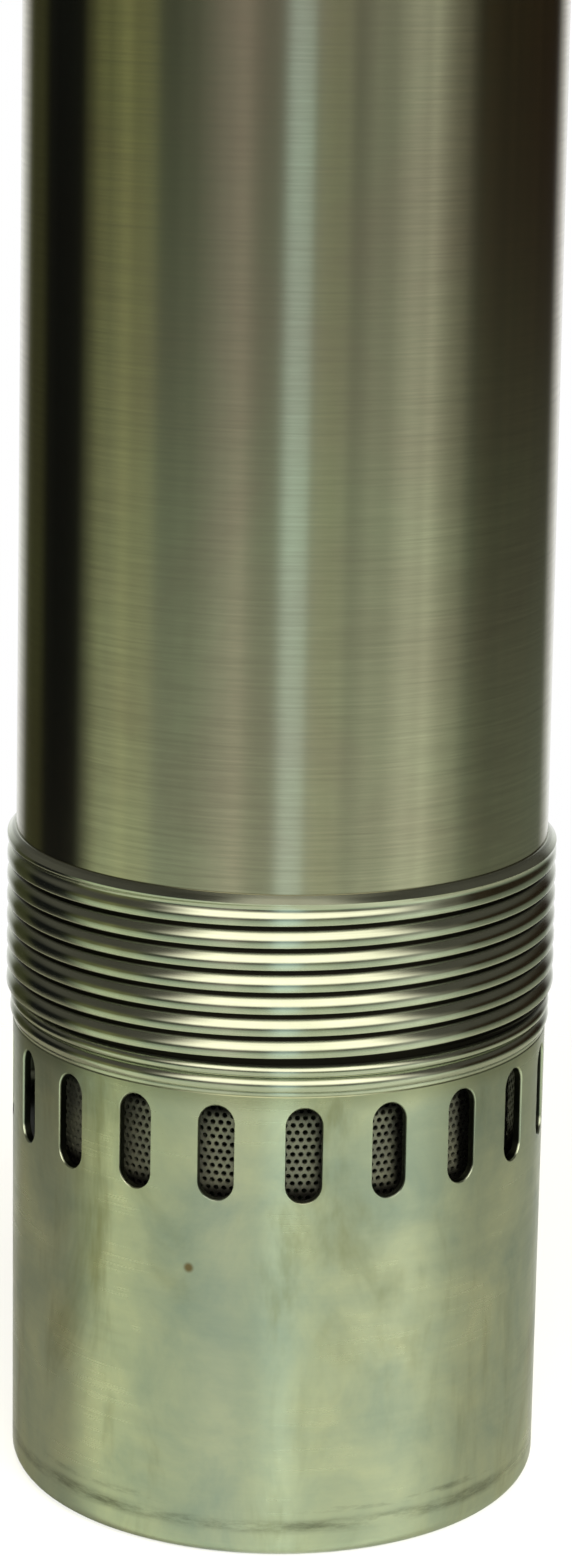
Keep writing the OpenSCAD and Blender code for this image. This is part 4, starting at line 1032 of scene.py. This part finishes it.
# %% Loft rings
def loft(rings, segments, closed):
    shape = bmesh.new()
    loops = []
    for radius, height, sides in rings:
        ring, edges = ring_loop(shape, segments, radius)
        for corner in ring:
            if sides:
                sector = math.tau / sides
                angle = (math.atan2(corner.co.y, corner.co.x) + math.tau) % sector - sector / 2
                corner.co *= math.cos(sector / 2) / math.cos(angle)
            corner.co.z = height
        loops.append(edges)
    for lower, upper in zip(loops, loops[1:] + (loops[:1] if closed else [])):
        bmesh.ops.bridge_loops(shape, edges=lower + upper)
    if not closed:
        bmesh.ops.holes_fill(shape, edges=loops[0] + loops[-1], sides=0)
    bmesh.ops.recalc_face_normals(shape, faces=shape.faces)
    bmesh.ops.scale(shape, verts=shape.verts, vec=(MM, MM, MM))
    print("lofted", len(rings), "rings of", segments)
    return shape


# %% [markdown]
# ## Cable gland
# The gland seals the cable where it enters the head. Its boss is cast with the head and turned, so it is
# spun. Its nut is a hexagon with a round top and a bore for the cable, so it is lofted.

# %% Gland boss and nut
GLAND_Y, HEX = 41.0, 6
gland_place = (0, GLAND_Y * MM, 0)
boss_outline = [(7.0, 801.0, 0.0), (14.5, 801.0, 0.0), (14.5, 842.0, 1.2),
                (9.5, 842.0, 0.3), (9.5, 826.0, 0.0), (7.0, 826.0, 0.0)]
shape = spin_outline(eased(boss_outline), steps=96)
bmesh.ops.translate(shape, verts=shape.verts, vec=gland_place)
gland_boss = finish_piece("gland_boss", shape, satin_head, sharp=38.0)
nut_rings = [(9.4, 836.0, 0), (9.4, 842.0, 0), (12.41, 842.05, HEX), (12.41, 850.6, HEX),
             (10.9, 852.0, 0), (7.6, 852.0, 0), (7.0, 851.3, 0), (7.0, 836.0, 0)]
shape = loft(nut_rings, segments=96, closed=True)
bmesh.ops.translate(shape, verts=shape.verts, vec=gland_place)
gland_nut = finish_piece("gland_hex", shape, ground_steel, sharp=30.0)
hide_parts("gland_nut")

# %% [markdown]
# ## Head screws
# Six button screws hold the head in the jacket. Each could be placed by hand, but one that is lofted
# along the axis, from its tip to the six-sided socket in its head, is soon laid down and copied round.

# %% Head screws
SCREW_Z, SCREW_COUNT, SCREW_TURN = 790.0, 6, 30
screw_rings = [(3.0, 55.0, 0), (3.0, JACKET_R, 0), (5.0, JACKET_R, 0), (5.0, 63.9, 0), (4.7, 64.4, 0),
               (3.8, 64.9, 0), (2.6, 65.1, 0), (1.9, 65.1, HEX), (1.9, 64.0, HEX)]
shape = loft(screw_rings, segments=24, closed=False)
turn_shape(shape, 90, "Y")
bmesh.ops.translate(shape, verts=shape.verts, vec=(0, 0, SCREW_Z * MM))
turn_shape(shape, SCREW_TURN, "Z")
copy_round(shape, SCREW_COUNT)
screws = finish_piece("head_button_screws", shape, ground_steel, sharp=35.0)
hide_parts("head_screws")
for piece in (head_body, outlet_thread, lug_right, lug_left, gland_boss, gland_nut, screws):
    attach(piece, "casing")

# %% [markdown]
# ## Finishes on the solids
# The remaining solids, most of them inside, keep their drawn shape and get the finish of their
# material. The drawing names a material slot for each, so one table dresses them all.

# %% Finishes
FINISH = {
    "brushed_tube": brushed_jacket, "satin_steel": satin_head, "turned_steel": turned_collar,
    "steel_parts": ground_steel, "cast_parts": painted_casting, "laminations": sheet_stack,
    "copper": copper_wire, "stage_plastic": stage_plastic, "capacitor_plastic": capacitor_plastic,
    "bronze": turned_brass, "seal_face": seal_ceramic, "seal_carbon": seal_carbon,
    "black_rubber": black_rubber,
}
slots = {part["node"]: part["material_slot"] for part in frame["record"]["subparts"]}
for node_name, solid in frame["nodes"].items():
    solid.data.materials.clear()
    solid.data.materials.append(FINISH[slots[node_name]])
print("finished solids:", len(slots))
